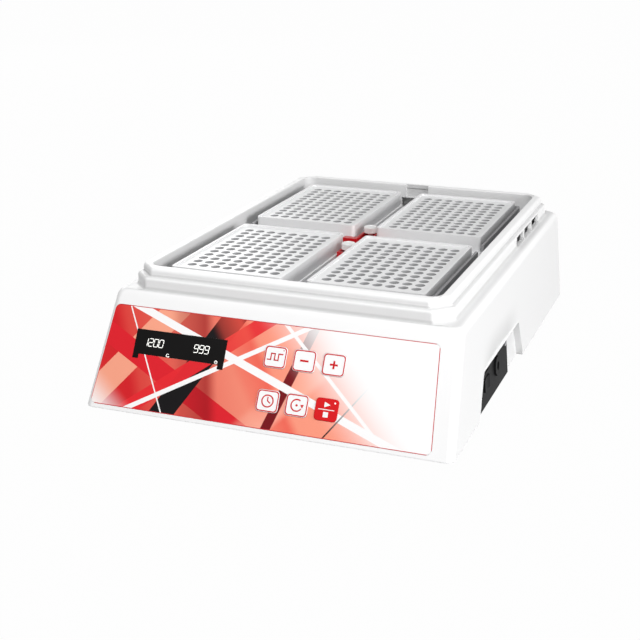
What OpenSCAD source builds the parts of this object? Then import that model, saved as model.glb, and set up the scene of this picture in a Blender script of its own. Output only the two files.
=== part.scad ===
// Orbital shaker for four microplates.
// Origin: middle of the footprint on the bench; +X right, +Y to the back, +Z up.

/* [Microplates] */
// Length of a microplate, mm
plate_l = 127.76; // [127:0.02:128.5]
// Width of a microplate, mm
plate_w = 85.48; // [85:0.02:86]
// Height of a microplate, mm
plate_h = 14.35; // [13:0.05:16]
// Distance between wells, mm
well_pitch = 9; // [4.5:4.5:9]
// Diameter of a well at its mouth, mm
well_d_top = 6.9; // [6:0.05:7.2]
// Depth of a well, mm
well_depth = 10.8; // [9:0.1:12]
// Gap between the plates across the platform, mm
gap_x = 15.2; // [12:0.1:20]
// Gap between the plates along the platform, mm
gap_y = 21.4; // [12:0.1:26]

/* [Platform] */
// Height of the top of the platform over the drive plate, mm
table_rise = 22.65; // [20:0.05:28]
// Thickness of the platform, mm
table_t = 2.5; // [2:0.5:4]
// Height of the lips round the platform, mm
lip_h = 9.4; // [4:0.2:12]
// Thickness of the lips, mm
lip_t = 2; // [1:0.1:3]
// Clearance between the plates and the lips, mm
plate_c = 0.3; // [0.2:0.05:1]

/* [Rim and well] */
// Clearance across between the platform and the well, mm
well_gap_x = 8.02; // [5:0.02:14]
// Clearance along between the platform and the well, mm
well_gap_y = 9.24; // [5:0.02:14]
// Radius of the corners of the well, mm
well_r = 9; // [4:0.5:14]
// Width of the upper step of the rim, mm
rim_t = 7.1; // [5:0.1:10]
// Width of the lower step beyond the upper one, mm
step_t = 3; // [2:0.1:6]
// Height of the lower step of the rim over the shoulder, mm
step_h = 8.9; // [7:0.1:12]
// Height of the upper step over the lower one, mm
rim_h = 6.1; // [4:0.1:9]
// Length cut off each corner of the rim, mm
rim_cut = 12; // [6:0.5:18]
// Thickness of the wall that hangs round the well, mm
skirt_t = 2.5; // [2:0.1:4]
// Clearance under that wall over the drive plate, mm
skirt_gap = 3.5; // [2:0.1:8]
// Length of a side vent, mm
vent_l = 25.4; // [15:0.2:30]
// Width of the bars between the side vents, mm
vent_bar = 2.8; // [2:0.1:6]
// Distance of the last side vent from the back end of the well, mm
vent_end = 33.8; // [20:0.2:60]

/* [Housing] */
// Height of the rubber feet under the housing, mm
foot_h = 4; // [3:0.5:8]
// Height of the shoulder of the housing over the top of the platform, mm
shoulder_rise = 2.85; // [1:0.05:6]
// Width of the shoulder beside the rim, mm
side_ledge = 9.12; // [6:0.02:14]
// Width of the shoulder before the rim, mm
front_ledge = 1.3; // [0.6:0.1:6]
// Width of the shoulder behind the rim, mm
back_ledge = 4.67; // [2:0.01:10]
// Lean of each side wall from upright, degrees
side_draft = 5.08; // [0:0.01:8]
// Lean of the front panel from upright, degrees
front_lean = 28.75; // [20:0.25:40]
// Lean of the back wall from upright, degrees
back_lean = 2.5; // [0:0.5:6]
// Thickness of the moulded walls, mm
wall = 3.2; // [2:0.1:5]
// Radius of the upright corners, mm
corner_r = 5; // [2:0.5:10]
// Thickness of the base sheet, mm
pan_t = 2; // [1:0.5:3]
// Height of the upturned edge of the base, mm
pan_edge = 10; // [6:0.5:16]
// Gap between the base sheet and the walls round it, mm
pan_c = 0.5; // [0.2:0.1:1]

/* [Front panel] */
// Distance of the label's foot from the foot of the front, mm
label_s = 3.4; // [2:0.1:6]
// Distance of the label's top from the shoulder, mm
label_top = 11.4; // [8:0.1:20]
// Distance of the label's left end from the left side, mm
label_left = 3.3; // [2:0.1:12]
// Distance of the label's right end from the right side, mm
label_right = 14.6; // [4:0.1:30]
// Thickness of the label, mm
label_t = 0.5; // [0.3:0.05:0.8]
// Width of the display window, mm
display_w = 67; // [50:0.5:80]
// Height of the display window, mm
display_h = 16.8; // [12:0.2:24]
// Distance of the display's middle from the label's left end, mm
display_in = 58.7; // [50:0.1:70]
// Width of a key, mm
key_w = 15.2; // [10:0.1:18]
// Height of a key, mm
key_h = 14.2; // [10:0.1:18]
// Distance of the first key's middle from the label's left end, mm
key_in = 127.8; // [120:0.1:140]
// Distance between the keys along a row, mm
key_pitch = 20.3; // [16:0.1:24]
// Height of the lower row of keys up the front, mm
key_row_1 = 22; // [16:0.5:30]
// Height of the upper row of keys up the front, mm
key_row_2 = 51; // [40:0.5:58]
// Gap round a key in its pocket, mm
key_c = 0.3; // [0.2:0.05:0.6]
// Travel of a key, mm
key_travel = 0.5; // [0.2:0.1:1]
// Depth of the control board behind the face of the front, mm
board_depth = 14; // [12:0.5:20]

/* [Side recess] */
// Distance of the recess behind the foot of the front, mm
arch_in = 70; // [50:0.5:90]
// Length of the recess at its foot, mm
arch_l = 135.6; // [110:0.1:160]
// Height of the top of the recess up the side, mm
arch_t = 32.1; // [26:0.1:40]
// Depth of the recess, mm
recess_d = 3.2; // [2:0.1:4]
// Length of the black panel, mm
panel_l = 96.2; // [80:0.2:120]
// Extra thickness of the wall behind the hand hold, mm
pad_t = 2.6; // [2:0.1:4]
// Depth of the hand hold above the recess, mm
scoop_d = 2.3; // [1:0.1:2.6]
// Radius of the hand hold, mm
scoop_r = 620; // [500:10:700]

/* [Drive] */
// Radius of the orbit, mm
orbit_r = 1.5; // [0.5:0.1:4]
// Height of the posts under the drive plate, mm
post_h = 44; // [40:0.5:56]
// Thickness of the drive plate, mm
deck_t = 2.5; // [1.5:0.5:4]
// Teeth of the pulley on the crank shaft
crank_teeth = 48; // [32:1:60]
// Teeth of the pulley on the motor
motor_teeth = 16; // [12:1:24]
// Pitch of the belt teeth, mm
belt_pitch = 3.93; // [2:0.01:5]
// Distance between the crank shaft and the motor shaft, mm
belt_centre = 85; // [70:1:100]
// Height of a pulley, mm
pulley_h = 11; // [8:0.5:14]
// Diameter of the crank shaft and its pin, mm
shaft_d = 10; // [8:1:12]
// Outer diameter of the ball bearings, mm
bearing_d = 26; // [24:1:32]
// Height of a ball bearing, mm
bearing_h = 8; // [7:1:10]
// Radial clearance of the running fits, mm
run_c = 0.05; // [0.02:0.01:0.1]
// Distance of the outer cranks in from the sides of the platform, mm
idler_in_x = 23.38; // [18:0.02:40]
// Distance of the outer cranks in from the ends of the platform, mm
idler_in_y = 32.76; // [18:0.02:60]

/* [Clamps] */
// Distance of each clamp knob from the middle, mm
knob_y = 26; // [20:0.5:34]
// Diameter of a clamp knob, mm
knob_d = 10.8; // [8:0.1:12.5]
// Height of the top of a clamp knob over the platform, mm
knob_h = 11.25; // [9:0.05:14]
// Height of the top of the red clamps over the platform, mm
clamp_h = 5.85; // [4:0.05:7]
// Distance that a clamp draws back from its plates, mm
clamp_travel = 3; // [2:0.5:4]

/* [Hidden] */
$fn = 64;
draft_t = tan(side_draft);
lean_t = tan(front_lean);
back_t = tan(back_lean);

// Heights
base_z = foot_h;
pan_z = base_z + pan_t;
deck_z = pan_z + post_h;
deck_top = deck_z + deck_t;
table_z = deck_top + table_rise;
shoulder_z = table_z + shoulder_rise;
step_z = shoulder_z + step_h;
rim_z = step_z + rim_h;
skirt_z = deck_top + skirt_gap;
clamp_z = table_z + clamp_h;
knob_z = table_z + knob_h;
pulley_z = deck_z - 26;
housing_top = deck_top + 2.1;
web_z = housing_top + 0.3;
web_h = 4;
bearing_gap = 0.05;
bearing_z = housing_top - 0.15 - 2 * bearing_h - bearing_gap;
collar_h = 3.5;
table_bearing_z = web_z + web_h + collar_h + 0.2;
idler_web_z = deck_top + 2.7;
idler_web_h = 4;
idler_top = table_z - table_t - 2.55;

// Plan, from the plates outwards
plate_dx = (plate_w + gap_x) / 2;
plate_dy = (plate_l + gap_y) / 2;
table_w = 2 * (plate_dx + plate_w / 2 + plate_c + lip_t);
table_d = 2 * (plate_dy + plate_l / 2 + plate_c + lip_t);
well_w = table_w + 2 * well_gap_x;
well_d = table_d + 2 * well_gap_y;
rim_w = well_w + 2 * rim_t;
rim_d = well_d + 2 * rim_t;
step_w = rim_w + 2 * step_t;
step_d = rim_d + 2 * step_t;
front_run = front_ledge + (shoulder_z - base_z) * lean_t;
back_run = back_ledge + (shoulder_z - base_z) * back_t;
body_w = step_w + 2 * (side_ledge + (shoulder_z - base_z) * draft_t);
body_d = step_d + front_run + back_run;
front_y = -body_d / 2;
well_y = (front_run - back_run) / 2;
mid = [0, well_y];
pin = [-orbit_r, 0];
table_x = pin[0];
table_y = well_y + pin[1];
idler_xy = [table_w / 2 - idler_in_x, table_d / 2 - idler_in_y];
idler_d = 8;
vent_h = step_h - 2.9;
vent_y = well_y + well_d / 2 - vent_end - 3 * vent_l - 2 * vent_bar;

// Front panel
label_h = (shoulder_z - base_z) / cos(front_lean) - label_s - label_top;
label_x0 = -body_w / 2 + label_left;
label_x1 = body_w / 2 - label_right;
display_x = label_x0 + display_in;
display_s = key_row_2 - 1.7;
key_x = label_x0 + key_in;
stem_w = 8;
plunger_d = 3.4;
board_t = 1.6;
board_x0 = display_x - display_w / 2 - 11.3;
board_x1 = key_x + 2 * key_pitch + 35.5;
board_s0 = key_row_1 - 8;
board_s1 = key_row_2 + 9;
board_holes = [for (x = [board_x0 + 6, board_x1 - 6], s = [board_s0 + 4, board_s1 - 4]) [x, s]];

// Side recess
arch_y0 = front_y + arch_in;
arch_y1 = arch_y0 + arch_l;
panel_y1 = arch_y0 + panel_l;
flange_t = 2;
flange_d = wall + pad_t;
socket_d = 11;
socket_at = [panel_y1 - 34.2, arch_t / 2 + 1];
rocker_at = [arch_y0 + 27, arch_t / 2 + 1];
panel_screws_at = [[arch_y0 + 8, 7.5], [panel_y1 - 9.2, arch_t - 6.1]];
recess_steps = 3;
recess_step = 0.8;

// Base and drive
boss_x = body_w / 2 - 17.2;
shell_bosses = [[-boss_x, front_y + 73], [boss_x, front_y + 56],
                [-boss_x, body_d / 2 - 27], [boss_x, body_d / 2 - 27]];
foot_at = [body_w / 2 - 33.2, body_d / 2 - 33];
deck_w = well_w - 6.8;
deck_d = well_d - 20;
deck_y = well_y + 3;
deck_feet = [for (i = [0:3]) [(i % 2 * 2 - 1) * (deck_w / 2 - 10),
                              deck_y + (i < 2 ? -1 : 1) * (deck_d / 2 - 20)]];
driver_at = [44, well_y - 77];
driver_size = [52, 84];
driver_holes = [for (x = [4, driver_size[0] - 4], y = [4, driver_size[1] - 4]) [x, y]];
driver_gap = 5;
motor_at = [0, well_y - belt_centre];
motor_shaft_d = 5;
crank_pr = crank_teeth * belt_pitch / (2 * PI);
motor_pr = motor_teeth * belt_pitch / (2 * PI);
flange_h = 1;
flange_out = 1.6;
hub_d = shaft_d + 10;
spoke = 3.4;
bearing_screw_r = bearing_d / 2 + 9;
motor_screw_r = 16;
screw_c = 0.3;

// Clamps
rail_x = gap_x / 2 - 1.3;
rail_t = 1.6;
stud_d = 4;
clamp_y0 = 5;
clamp_y1 = knob_y + clamp_travel + 6;

key_names = ["key_1", "key_2", "key_3", "key_4", "key_5", "key_6"];
plate_names = ["plate_front_left", "plate_front_right", "plate_back_left", "plate_back_right"];
clamp_names = ["clamp_front", "clamp_back"];
knob_names = ["knob_front", "knob_back"];
idler_names = ["idler_front_left", "idler_front_right", "idler_back_left", "idler_back_right"];

// Half width, front and back of the housing at a height
function half_w(z) = body_w / 2 - (z - base_z) * draft_t;
function face_y(z) = front_y + (z - base_z) * lean_t;
function back_y(z) = body_d / 2 - (z - base_z) * back_t;
// Signs of the four corners: front left, front right, back left, back right
function corner(i) = [i % 2 == 0 ? -1 : 1, i < 2 ? -1 : 1];

// Rounded rectangle about the origin, of true arcs
module slab(w, d, r) {
    union() {
        square([w - 2 * r, d], center = true);
        square([w, d - 2 * r], center = true);
        for (i = [0:3])
            translate([corner(i)[0] * (w / 2 - r), corner(i)[1] * (d / 2 - r)]) circle(r);
    }
}

// Rectangle with its corners cut at 45 degrees
module cut_slab(w, d, c) {
    polygon([[-w / 2 + c, -d / 2], [w / 2 - c, -d / 2], [w / 2, -d / 2 + c],
             [w / 2, d / 2 - c], [w / 2 - c, d / 2], [-w / 2 + c, d / 2],
             [-w / 2, d / 2 - c], [-w / 2, -d / 2 + c]]);
}

module tube(od, id, h) {
    difference() {
        cylinder(d = od, h = h);
        translate([0, 0, -1]) cylinder(d = id, h = h + 2);
    }
}

// Frame of the sloping front: x across, y up the slope from its foot, z outwards
module on_front(x = 0, s = 0, out = 0) {
    translate([0, front_y, base_z]) rotate([90 - front_lean, 0, 0]) translate([x, s, out])
        children();
}

// Frame of the right side: y along, t up the side from its foot, z outwards
module on_side(y = 0, t = 0, out = 0) {
    translate([body_w / 2, 0, base_z]) rotate([0, -side_draft, 0]) rotate([90, 0, 90])
        translate([y, t, out]) children();
}

// Plan outline of the housing at one height, moved in at the sides, front and back
module level(z, ix, iy0, iy1, r) {
    w = 2 * (half_w(z) - ix);
    y0 = face_y(z) + iy0;
    y1 = back_y(z) - iy1;
    translate([0, (y0 + y1) / 2, z]) linear_extrude(0.01) slab(w, y1 - y0, r);
}

// Drafted block with a rounded shoulder; each level has its height and how far its
// sides, front and back are moved in
module outer_form() {
    levels = [[base_z, 1, 1, 1], [base_z + 1.2, 0, 0, 0], [shoulder_z - 5, 0, 0, 0],
              [shoulder_z - 3, 0.5, 0, 0.4], [shoulder_z - 1.6, 1.5, 0.1, 1.2],
              [shoulder_z - 0.6, 3, 0.3, 2.4], [shoulder_z - 0.01, 5.5, 0.8, 3.8]];
    hull() for (l = levels) level(l[0], l[1], l[2], l[3], corner_r, $fn = 32);
}

module inner_form() {
    hull() for (z = [base_z - 1, shoulder_z - wall - 0.01])
        level(z, wall / cos(side_draft), wall / cos(front_lean), wall / cos(back_lean),
              corner_r - wall + 0.8, $fn = 16);
}

// Outline of the recess in the right side, as y and t
module arch_outline(shrink = 0) {
    offset(r = 4 - shrink) offset(delta = -4)
        polygon([[arch_y0 - 6, -8], [arch_y0 + 18.5, arch_t], [arch_y1 - 11.6, arch_t],
                 [arch_y1 + 5, -8]]);
}

// Block with its upper edge bevelled, on the outline of the rim
module rim_block(w, d, z0, z1, bevel) {
    translate([0, well_y, z0]) linear_extrude(z1 - bevel - z0) cut_slab(w, d, rim_cut);
    translate([0, well_y, z1 - bevel]) hull() {
        linear_extrude(0.01) cut_slab(w, d, rim_cut);
        translate([0, 0, bevel - 0.01]) linear_extrude(0.01)
            cut_slab(w - 2 * bevel, d - 2 * bevel, rim_cut - 0.6 * bevel);
    }
}

module key_grid() {
    for (i = [0:5])
        translate([key_x + (i % 3) * key_pitch, i < 3 ? key_row_2 : key_row_1, 0]) children();
}

module display_outline(c = 0) {
    square([display_w - 2 * c, display_h - 2 * c], center = true);
    for (s = [-1, 1])
        translate([s * (display_w / 2 - 2), -display_h / 2 - 1.4])
            square([4 - 2 * c, 3.4 - 2 * c], center = true);
}

module label_outline(c = 0) {
    offset(r = 4 - c) offset(delta = -4)
        polygon([[label_x0, label_s], [label_x1, label_s],
                 [label_x1 - 5.2, label_s + label_h], [label_x0 + 5.6, label_s + label_h]]);
}

module shell() {
    color("white") difference() {
        union() {
            difference() {
                outer_form();
                inner_form();
            }
            translate([0, well_y, skirt_z]) linear_extrude(shoulder_z - skirt_z)
                slab(well_w + 2 * skirt_t, well_d + 2 * skirt_t, well_r + skirt_t);
            rim_block(step_w, step_d, shoulder_z - 1.5, step_z, 0.6);
            rim_block(rim_w, rim_d, step_z - 1, rim_z, 1);
            for (b = shell_bosses)
                translate([b[0], b[1], base_z + 2]) cylinder(d = 9, h = shoulder_z - base_z - 4);
            // thicker wall behind the hand hold
            on_side(arch_y0 + 9, arch_t - 2, -wall - pad_t) cube([arch_l - 15.6, 32, pad_t + 0.4]);
            // inside of the back end of the recess
            on_side(panel_y1 + 0.2, 0.5, -recess_d - 2.4)
                cube([arch_y1 - panel_y1 + 6.6, arch_t + 2.5, 2.5]);
        }
        translate([0, well_y, skirt_z - 10]) linear_extrude(80) slab(well_w, well_d, well_r);
        // hollow under the two steps of the rim
        for (h = [[step_w, step_d, step_z - 1.2], [rim_w, rim_d, rim_z - 2.4]])
            translate([0, well_y, shoulder_z - 6]) linear_extrude(h[2] - shoulder_z + 6)
                difference() {
                    cut_slab(h[0] - 2 * skirt_t, h[1] - 2 * skirt_t, rim_cut);
                    slab(well_w + 2 * skirt_t, well_d + 2 * skirt_t, well_r + skirt_t);
                }
        // side vents near the back
        for (i = [0:2])
            translate([step_w / 2 - 5, vent_y + i * (vent_l + vent_bar), step_z - 1.2 - vent_h])
                cube([10, vent_l, vent_h]);
        // catch recess and slot in the back wall of the well
        translate([-10, well_y + well_d / 2 - 1, rim_z - 10.5]) cube([20, 2.7, 8.6]);
        translate([-14, well_y + well_d / 2 - 1, rim_z - 20.5]) cube([28, 5, 9]);
        // opening of the side recess: through where the black panel closes it, blind behind
        intersection() {
            on_side(0, 0, -14) linear_extrude(20) arch_outline();
            on_side(arch_y0 - 20, -10, -14) cube([panel_y1 + 0.2 - arch_y0 + 20, 80, 20]);
        }
        intersection() {
            on_side(0, 0, -recess_d) linear_extrude(20) arch_outline();
            for (i = [0:recess_steps - 1])
                on_side(panel_y1 - 1, -10, -recess_d + i * recess_step)
                    cube([(arch_y1 - panel_y1) / 2 - 0.4 + i * 11, 80, 20]);
        }
        // hand hold above the recess
        on_side(arch_y0 + arch_l / 2 - 0.8, arch_t, scoop_r - scoop_d) sphere(scoop_r, $fn = 180);
        // label recess, display window and key holes in the front
        on_front(0, 0, -label_t) linear_extrude(4) label_outline(-0.15);
        on_front(display_x, display_s, -12) linear_extrude(12)
            square([display_w - 5, display_h - 1.8], center = true);
        on_front(0, 0, -12) key_grid() linear_extrude(16)
            slab(stem_w + 2 * key_c, stem_w + 2 * key_c, 1);
        on_front(0, 0, -label_t - 1.4) key_grid() linear_extrude(4)
            slab(key_w + 2 * key_c, key_h + 2 * key_c, 2.6);
        for (b = shell_bosses)
            translate([b[0], b[1], 0]) cylinder(d = 3.2, h = base_z + 20);
    }
}

module base_pan() {
    w = 2 * (half_w(pan_z) - wall / cos(side_draft) - pan_c);
    y0 = face_y(pan_z) + wall / cos(front_lean) + pan_c;
    y1 = back_y(pan_z) - wall / cos(back_lean) - pan_c;
    edge_y0 = face_y(base_z + pan_edge) + wall / cos(front_lean) + pan_c;
    color("silver") difference() {
        union() {
            translate([0, (y0 + y1) / 2, base_z]) linear_extrude(pan_t) slab(w, y1 - y0, corner_r - 2);
            // upturned edge
            translate([0, (edge_y0 + y1 - 1) / 2, base_z]) linear_extrude(pan_edge) difference() {
                slab(w - 3, y1 - 1 - edge_y0, 3);
                slab(w - 6, y1 - 4 - edge_y0, 2);
            }
        }
        // room for the side panel
        translate([body_w / 2 - flange_d - flange_t - 0.5, arch_y0 - 7, 0]) cube([30, arch_l + 20, 30]);
        // vent slots
        for (i = [0:6], y = [-47, 63])
            translate([(i - 3) * 20, well_y + y, 0]) linear_extrude(20) slab(4, 50, 1.9);
        for (b = concat(shell_bosses, deck_feet)) translate([b[0], b[1], 0]) cylinder(d = 4.2, h = 20);
        for (i = [0:3]) translate([corner(i)[0] * foot_at[0], corner(i)[1] * foot_at[1], 0])
            cylinder(d = 5.2, h = 20);
        for (h = driver_holes)
            translate([driver_at[0] + h[0], driver_at[1] + h[1], 0]) cylinder(d = 3.2, h = 20);
    }
}

module feet() {
    color("dimgray") for (i = [0:3])
        translate([corner(i)[0] * foot_at[0], corner(i)[1] * foot_at[1], 0]) {
            cylinder(d1 = 16, d2 = 18, h = foot_h);
            cylinder(d = 5, h = pan_z);
            translate([0, 0, pan_z]) cylinder(d1 = 8, d2 = 5, h = 3);
        }
}

// Socket head screw with its head's seat at z = 0, pointing up
module screw_up(d, len, head_d, head_h) {
    difference() {
        union() {
            translate([0, 0, -head_h]) cylinder(d = head_d, h = head_h);
            cylinder(d = d, h = len);
        }
        translate([0, 0, -head_h - 1]) cylinder(r = 0.3 * head_d, h = 1 + 0.6 * head_h, $fn = 6);
    }
}

module shell_screws() {
    color("gray") for (b = shell_bosses) translate([b[0], b[1], base_z]) screw_up(3.2, 18, 7, 2.4);
}

module label() {
    color("white") on_front(0, 0, -label_t) difference() {
        linear_extrude(label_t) label_outline();
        translate([display_x, display_s, -1]) linear_extrude(3) display_outline(-0.15);
        translate([0, 0, -1]) key_grid() linear_extrude(3)
            slab(key_w + 2 * key_c, key_h + 2 * key_c, 2.6);
    }
}

module display_window() {
    color("black") on_front(display_x, display_s, -label_t) {
        linear_extrude(label_t + 0.1) display_outline();
    }
}

module display_module() {
    color("dimgray") on_front(display_x, display_s, -wall) {
        translate([0, 0, -0.1]) linear_extrude(wall - label_t - 0.1)
            square([display_w - 5.8, display_h - 2.4], center = true);
        translate([0, 0, -4.4]) linear_extrude(4.4) square([display_w, display_h + 2.8], center = true);
        for (x = [-1, 1], y = [-1, 1])
            translate([x * (display_w / 2 - 3.5), y * (display_h / 2 - 2.4), -board_depth + wall])
                cylinder(d = 1, h = board_depth - wall - 4);
    }
}

module control_board() {
    color("darkgreen") on_front(0, 0, -board_depth) difference() {
        union() {
            translate([board_x0, board_s0, -board_t]) cube([board_x1 - board_x0, board_s1 - board_s0, board_t]);
            translate([board_x0 + 4, board_s0 + 10, -0.1]) cube([9, board_s1 - board_s0 - 24, 3.1]);
            translate([display_x + 7.2, board_s0 + 6, -board_t - 7]) cube([26, 6, 7.1]);
            for (i = [0:2]) translate([key_x + (i - 1) * key_pitch - 7.9, board_s1 - 20, -board_t - 2])
                cube([9, 9, 2.1]);
        }
        for (h = board_holes) translate([h[0], h[1], -3]) cylinder(d = 3.2, h = 5);
    }
}

module key_switches() {
    color("black") on_front(0, 0, -board_depth) key_grid() difference() {
        translate([-3.2, -3.2, 0]) cube([6.4, 6.4, 4]);
        translate([0, 0, 1]) cylinder(d = plunger_d + 0.2, h = 4);
    }
}

module board_spacers() {
    color("silver") on_front(0, 0, 0) for (h = board_holes) translate([h[0], h[1], 0]) {
        translate([0, 0, -board_depth]) cylinder(d = 5.6, h = board_depth - wall);
        translate([0, 0, -board_depth - board_t - 0.8]) cylinder(d = 3, h = board_t + 1.4);
        translate([0, 0, -board_depth - board_t - 1.8]) cylinder(d = 5.6, h = 1.8);
    }
}

module inlet_panel() {
    color("black") difference() {
        union() {
            intersection() {
                on_side(0, 0, -flange_d - 0.1) linear_extrude(flange_d + 0.1 - recess_d) arch_outline(0.3);
                on_side(arch_y0 - 20, -0.1, -flange_d - 1) cube([panel_y1 - arch_y0 + 20, 60, 10]);
            }
            // flange behind the thick part of the shell's wall
            on_side(arch_y0 - 3, 2, -flange_d - flange_t)
                cube([panel_y1 - arch_y0 + 1.6, arch_t + 1.5, flange_t]);
        }
        on_side(socket_at[0], socket_at[1], -20) cylinder(d = socket_d + 0.2, h = 30);
        on_side(rocker_at[0], rocker_at[1], -20) translate([-9.7, -6.2, 0]) cube([19.4, 12.4, 30]);
        for (p = panel_screws_at) on_side(p[0], p[1], -20) cylinder(d = 3.2, h = 30);
    }
}

module panel_screws() {
    color("gray") for (p = panel_screws_at) on_side(p[0], p[1], -recess_d)
        rotate([180, 0, 0]) screw_up(3, 7, 5.4, 1.6);
}

module power_socket() {
    color("black") on_side(socket_at[0], socket_at[1], -recess_d) {
        difference() {
            union() {
                cylinder(d = 14.4, h = 1.5);
                translate([0, 0, -15]) cylinder(d = socket_d, h = 16);
            }
            translate([0, 0, -10]) cylinder(d = 6.4, h = 12);
        }
        translate([0, 0, -11]) cylinder(d = 2.1, h = 11.6);
    }
}

module socket_nut() {
    color("silver") on_side(socket_at[0], socket_at[1], -flange_d - flange_t) difference() {
        translate([0, 0, -3]) cylinder(d = 15, h = 3, $fn = 6);
        translate([0, 0, -4]) cylinder(d = socket_d, h = 5);
    }
}

module rocker_frame() {
    color("black") on_side(rocker_at[0], rocker_at[1], -recess_d) difference() {
        union() {
            translate([-10.5, -7.5, 0]) cube([21, 15, 1.2]);
            translate([-9.6, -6.1, -12]) cube([19.2, 12.2, 12.1]);
        }
        translate([-8.1, -4.6, -9]) cube([16.2, 9.2, 12]);
        translate([0, 0, -4]) rotate([90, 0, 0]) cylinder(d = 2.1, h = 11.4, center = true);
    }
}

// Rocker: tips about a pin that lies upright in the panel
module rocker() {
    color("black") on_side(rocker_at[0], rocker_at[1], -recess_d) {
        difference() {
            translate([-7.1, -4.3, -5.4]) cube([14.2, 8.6, 7.8]);
            translate([0, 0, 24.6]) rotate([90, 0, 0]) cylinder(r = 23, h = 12, center = true);
        }
        translate([0, 0, -4]) rotate([90, 0, 0]) cylinder(d = 2, h = 11.2, center = true);
    }
}

module deck() {
    color("lightgray") difference() {
        translate([0, deck_y, deck_z]) linear_extrude(deck_t) slab(deck_w, deck_d, 6);
        translate([0, 0, deck_z - 5]) linear_extrude(20) {
            translate(mid) circle(d = bearing_d + 8.2);
            translate(motor_at) circle(d = 20);
            for (i = [0:3]) translate([corner(i)[0] * idler_xy[0], well_y + corner(i)[1] * idler_xy[1]])
                circle(d = 2 * idler_d + 0.2);
            for (p = deck_feet) translate(p) circle(d = 4 + screw_c);
            for (a = [45:90:315]) {
                translate(mid + bearing_screw_r * [cos(a), sin(a)]) circle(d = 4 + screw_c);
                translate(motor_at + motor_screw_r * [cos(a), sin(a)]) circle(d = 3 + screw_c);
            }
        }
    }
}

module deck_posts() {
    color("silver") for (p = deck_feet) translate([p[0], p[1], pan_z])
        cylinder(d = 12, h = post_h, $fn = 6);
}

// Screws through the base and the drive plate into the posts and the bearing housing
module deck_screws() {
    color("gray") {
        for (p = deck_feet) {
            translate([p[0], p[1], base_z]) screw_up(4, pan_t - 0.1, 7, 2.4);
            translate([p[0], p[1], deck_top]) rotate([180, 0, 0]) screw_up(4, deck_t, 7, 2.4);
        }
        for (a = [45:90:315])
            translate([mid[0] + bearing_screw_r * cos(a), mid[1] + bearing_screw_r * sin(a), deck_top])
                rotate([180, 0, 0]) screw_up(4, deck_t, 7, 2);
    }
}

module bearing_housing() {
    color("silver") translate([mid[0], mid[1], 0]) difference() {
        union() {
            translate([0, 0, bearing_z - 2]) cylinder(d = bearing_d + 8, h = housing_top - bearing_z + 2);
            translate([0, 0, deck_z - 4]) cylinder(d = bearing_d + 30, h = 4);
        }
        translate([0, 0, bearing_z]) cylinder(d = bearing_d, h = 2 * bearing_h + 4);
        translate([0, 0, bearing_z - 8]) cylinder(d = bearing_d - 6, h = 20);
    }
}

// Ball bearing with its shields sunk between the two races
module ball_bearing() {
    bore = shaft_d / 2 + run_c;
    rotate_extrude() polygon([[bore, 0], [bore + 2.2, 0], [bore + 2.2, 0.5],
        [bearing_d / 2 - 2.2, 0.5], [bearing_d / 2 - 2.2, 0], [bearing_d / 2, 0],
        [bearing_d / 2, bearing_h], [bearing_d / 2 - 2.2, bearing_h],
        [bearing_d / 2 - 2.2, bearing_h - 0.5], [bore + 2.2, bearing_h - 0.5],
        [bore + 2.2, bearing_h], [bore, bearing_h]]);
}

module main_bearings() {
    color("gray") for (i = [0, 1])
        translate([mid[0], mid[1], bearing_z + i * (bearing_h + bearing_gap)]) ball_bearing();
}

module idler_hubs() {
    color("silver") for (i = [0:3])
        translate([corner(i)[0] * idler_xy[0], well_y + corner(i)[1] * idler_xy[1], 0]) difference() {
            union() {
                translate([0, 0, deck_z - 8]) cylinder(d = 2 * idler_d, h = deck_t + 9.5);
                translate([0, 0, deck_top]) cylinder(d = 2 * idler_d + 10, h = 2.4);
            }
            translate([0, 0, deck_z - 7]) cylinder(d = idler_d + 2 * run_c, h = 20);
        }
}

module motor() {
    color("dimgray") translate([motor_at[0], motor_at[1], 0]) difference() {
        union() {
            translate([0, 0, deck_z - 13]) cylinder(d = 58, h = 10);
            translate([0, 0, deck_z - 14.5]) cylinder(d1 = 54, d2 = 58, h = 1.5);
            translate([0, 0, deck_z - 3]) cylinder(d = 46, h = 3);
            translate([0, 0, deck_z - 1]) cylinder(d = 19.6, h = 4);
            translate([18, -6, deck_z - 3]) cube([12, 12, 3]);
        }
        translate([0, 0, deck_z - 30]) cylinder(d = motor_shaft_d + 2 * run_c, h = 28);
        for (a = [0:30:330])
            translate([19.5 * cos(a), 19.5 * sin(a), deck_z - 20]) cylinder(d = 4, h = 8.5);
    }
}

module motor_screws() {
    color("gray") for (a = [45:90:315])
        translate([motor_at[0] + motor_screw_r * cos(a), motor_at[1] + motor_screw_r * sin(a), deck_top])
            rotate([180, 0, 0]) screw_up(3, deck_t, 5.6, 2);
}

// Toothed pulley between two flanges
module pulley(teeth, bore, pr, h) {
    difference() {
        union() {
            linear_extrude(h) difference() {
                circle(pr);
                for (i = [0:teeth - 1])
                    rotate(i * 360 / teeth) translate([pr, 0]) circle(belt_pitch * 0.26, $fn = 16);
            }
            for (z = [0, h - flange_h]) translate([0, 0, z]) cylinder(r = pr + flange_out, h = flange_h);
        }
        translate([0, 0, -1]) cylinder(d = bore, h = h + 2);
    }
}

// Rotor side of the motor: shaft and small pulley
module motor_pulley() {
    color("silver") translate([motor_at[0], motor_at[1], pulley_z]) {
        pulley(motor_teeth, motor_shaft_d, motor_pr, pulley_h);
        translate([0, 0, -1]) cylinder(d = motor_shaft_d, h = deck_z - pulley_z - 1.4);
    }
}

module belt_outline(c) {
    hull() {
        translate(mid) circle(crank_pr + c, $fn = 96);
        translate(motor_at) circle(motor_pr + c, $fn = 64);
    }
}

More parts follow.
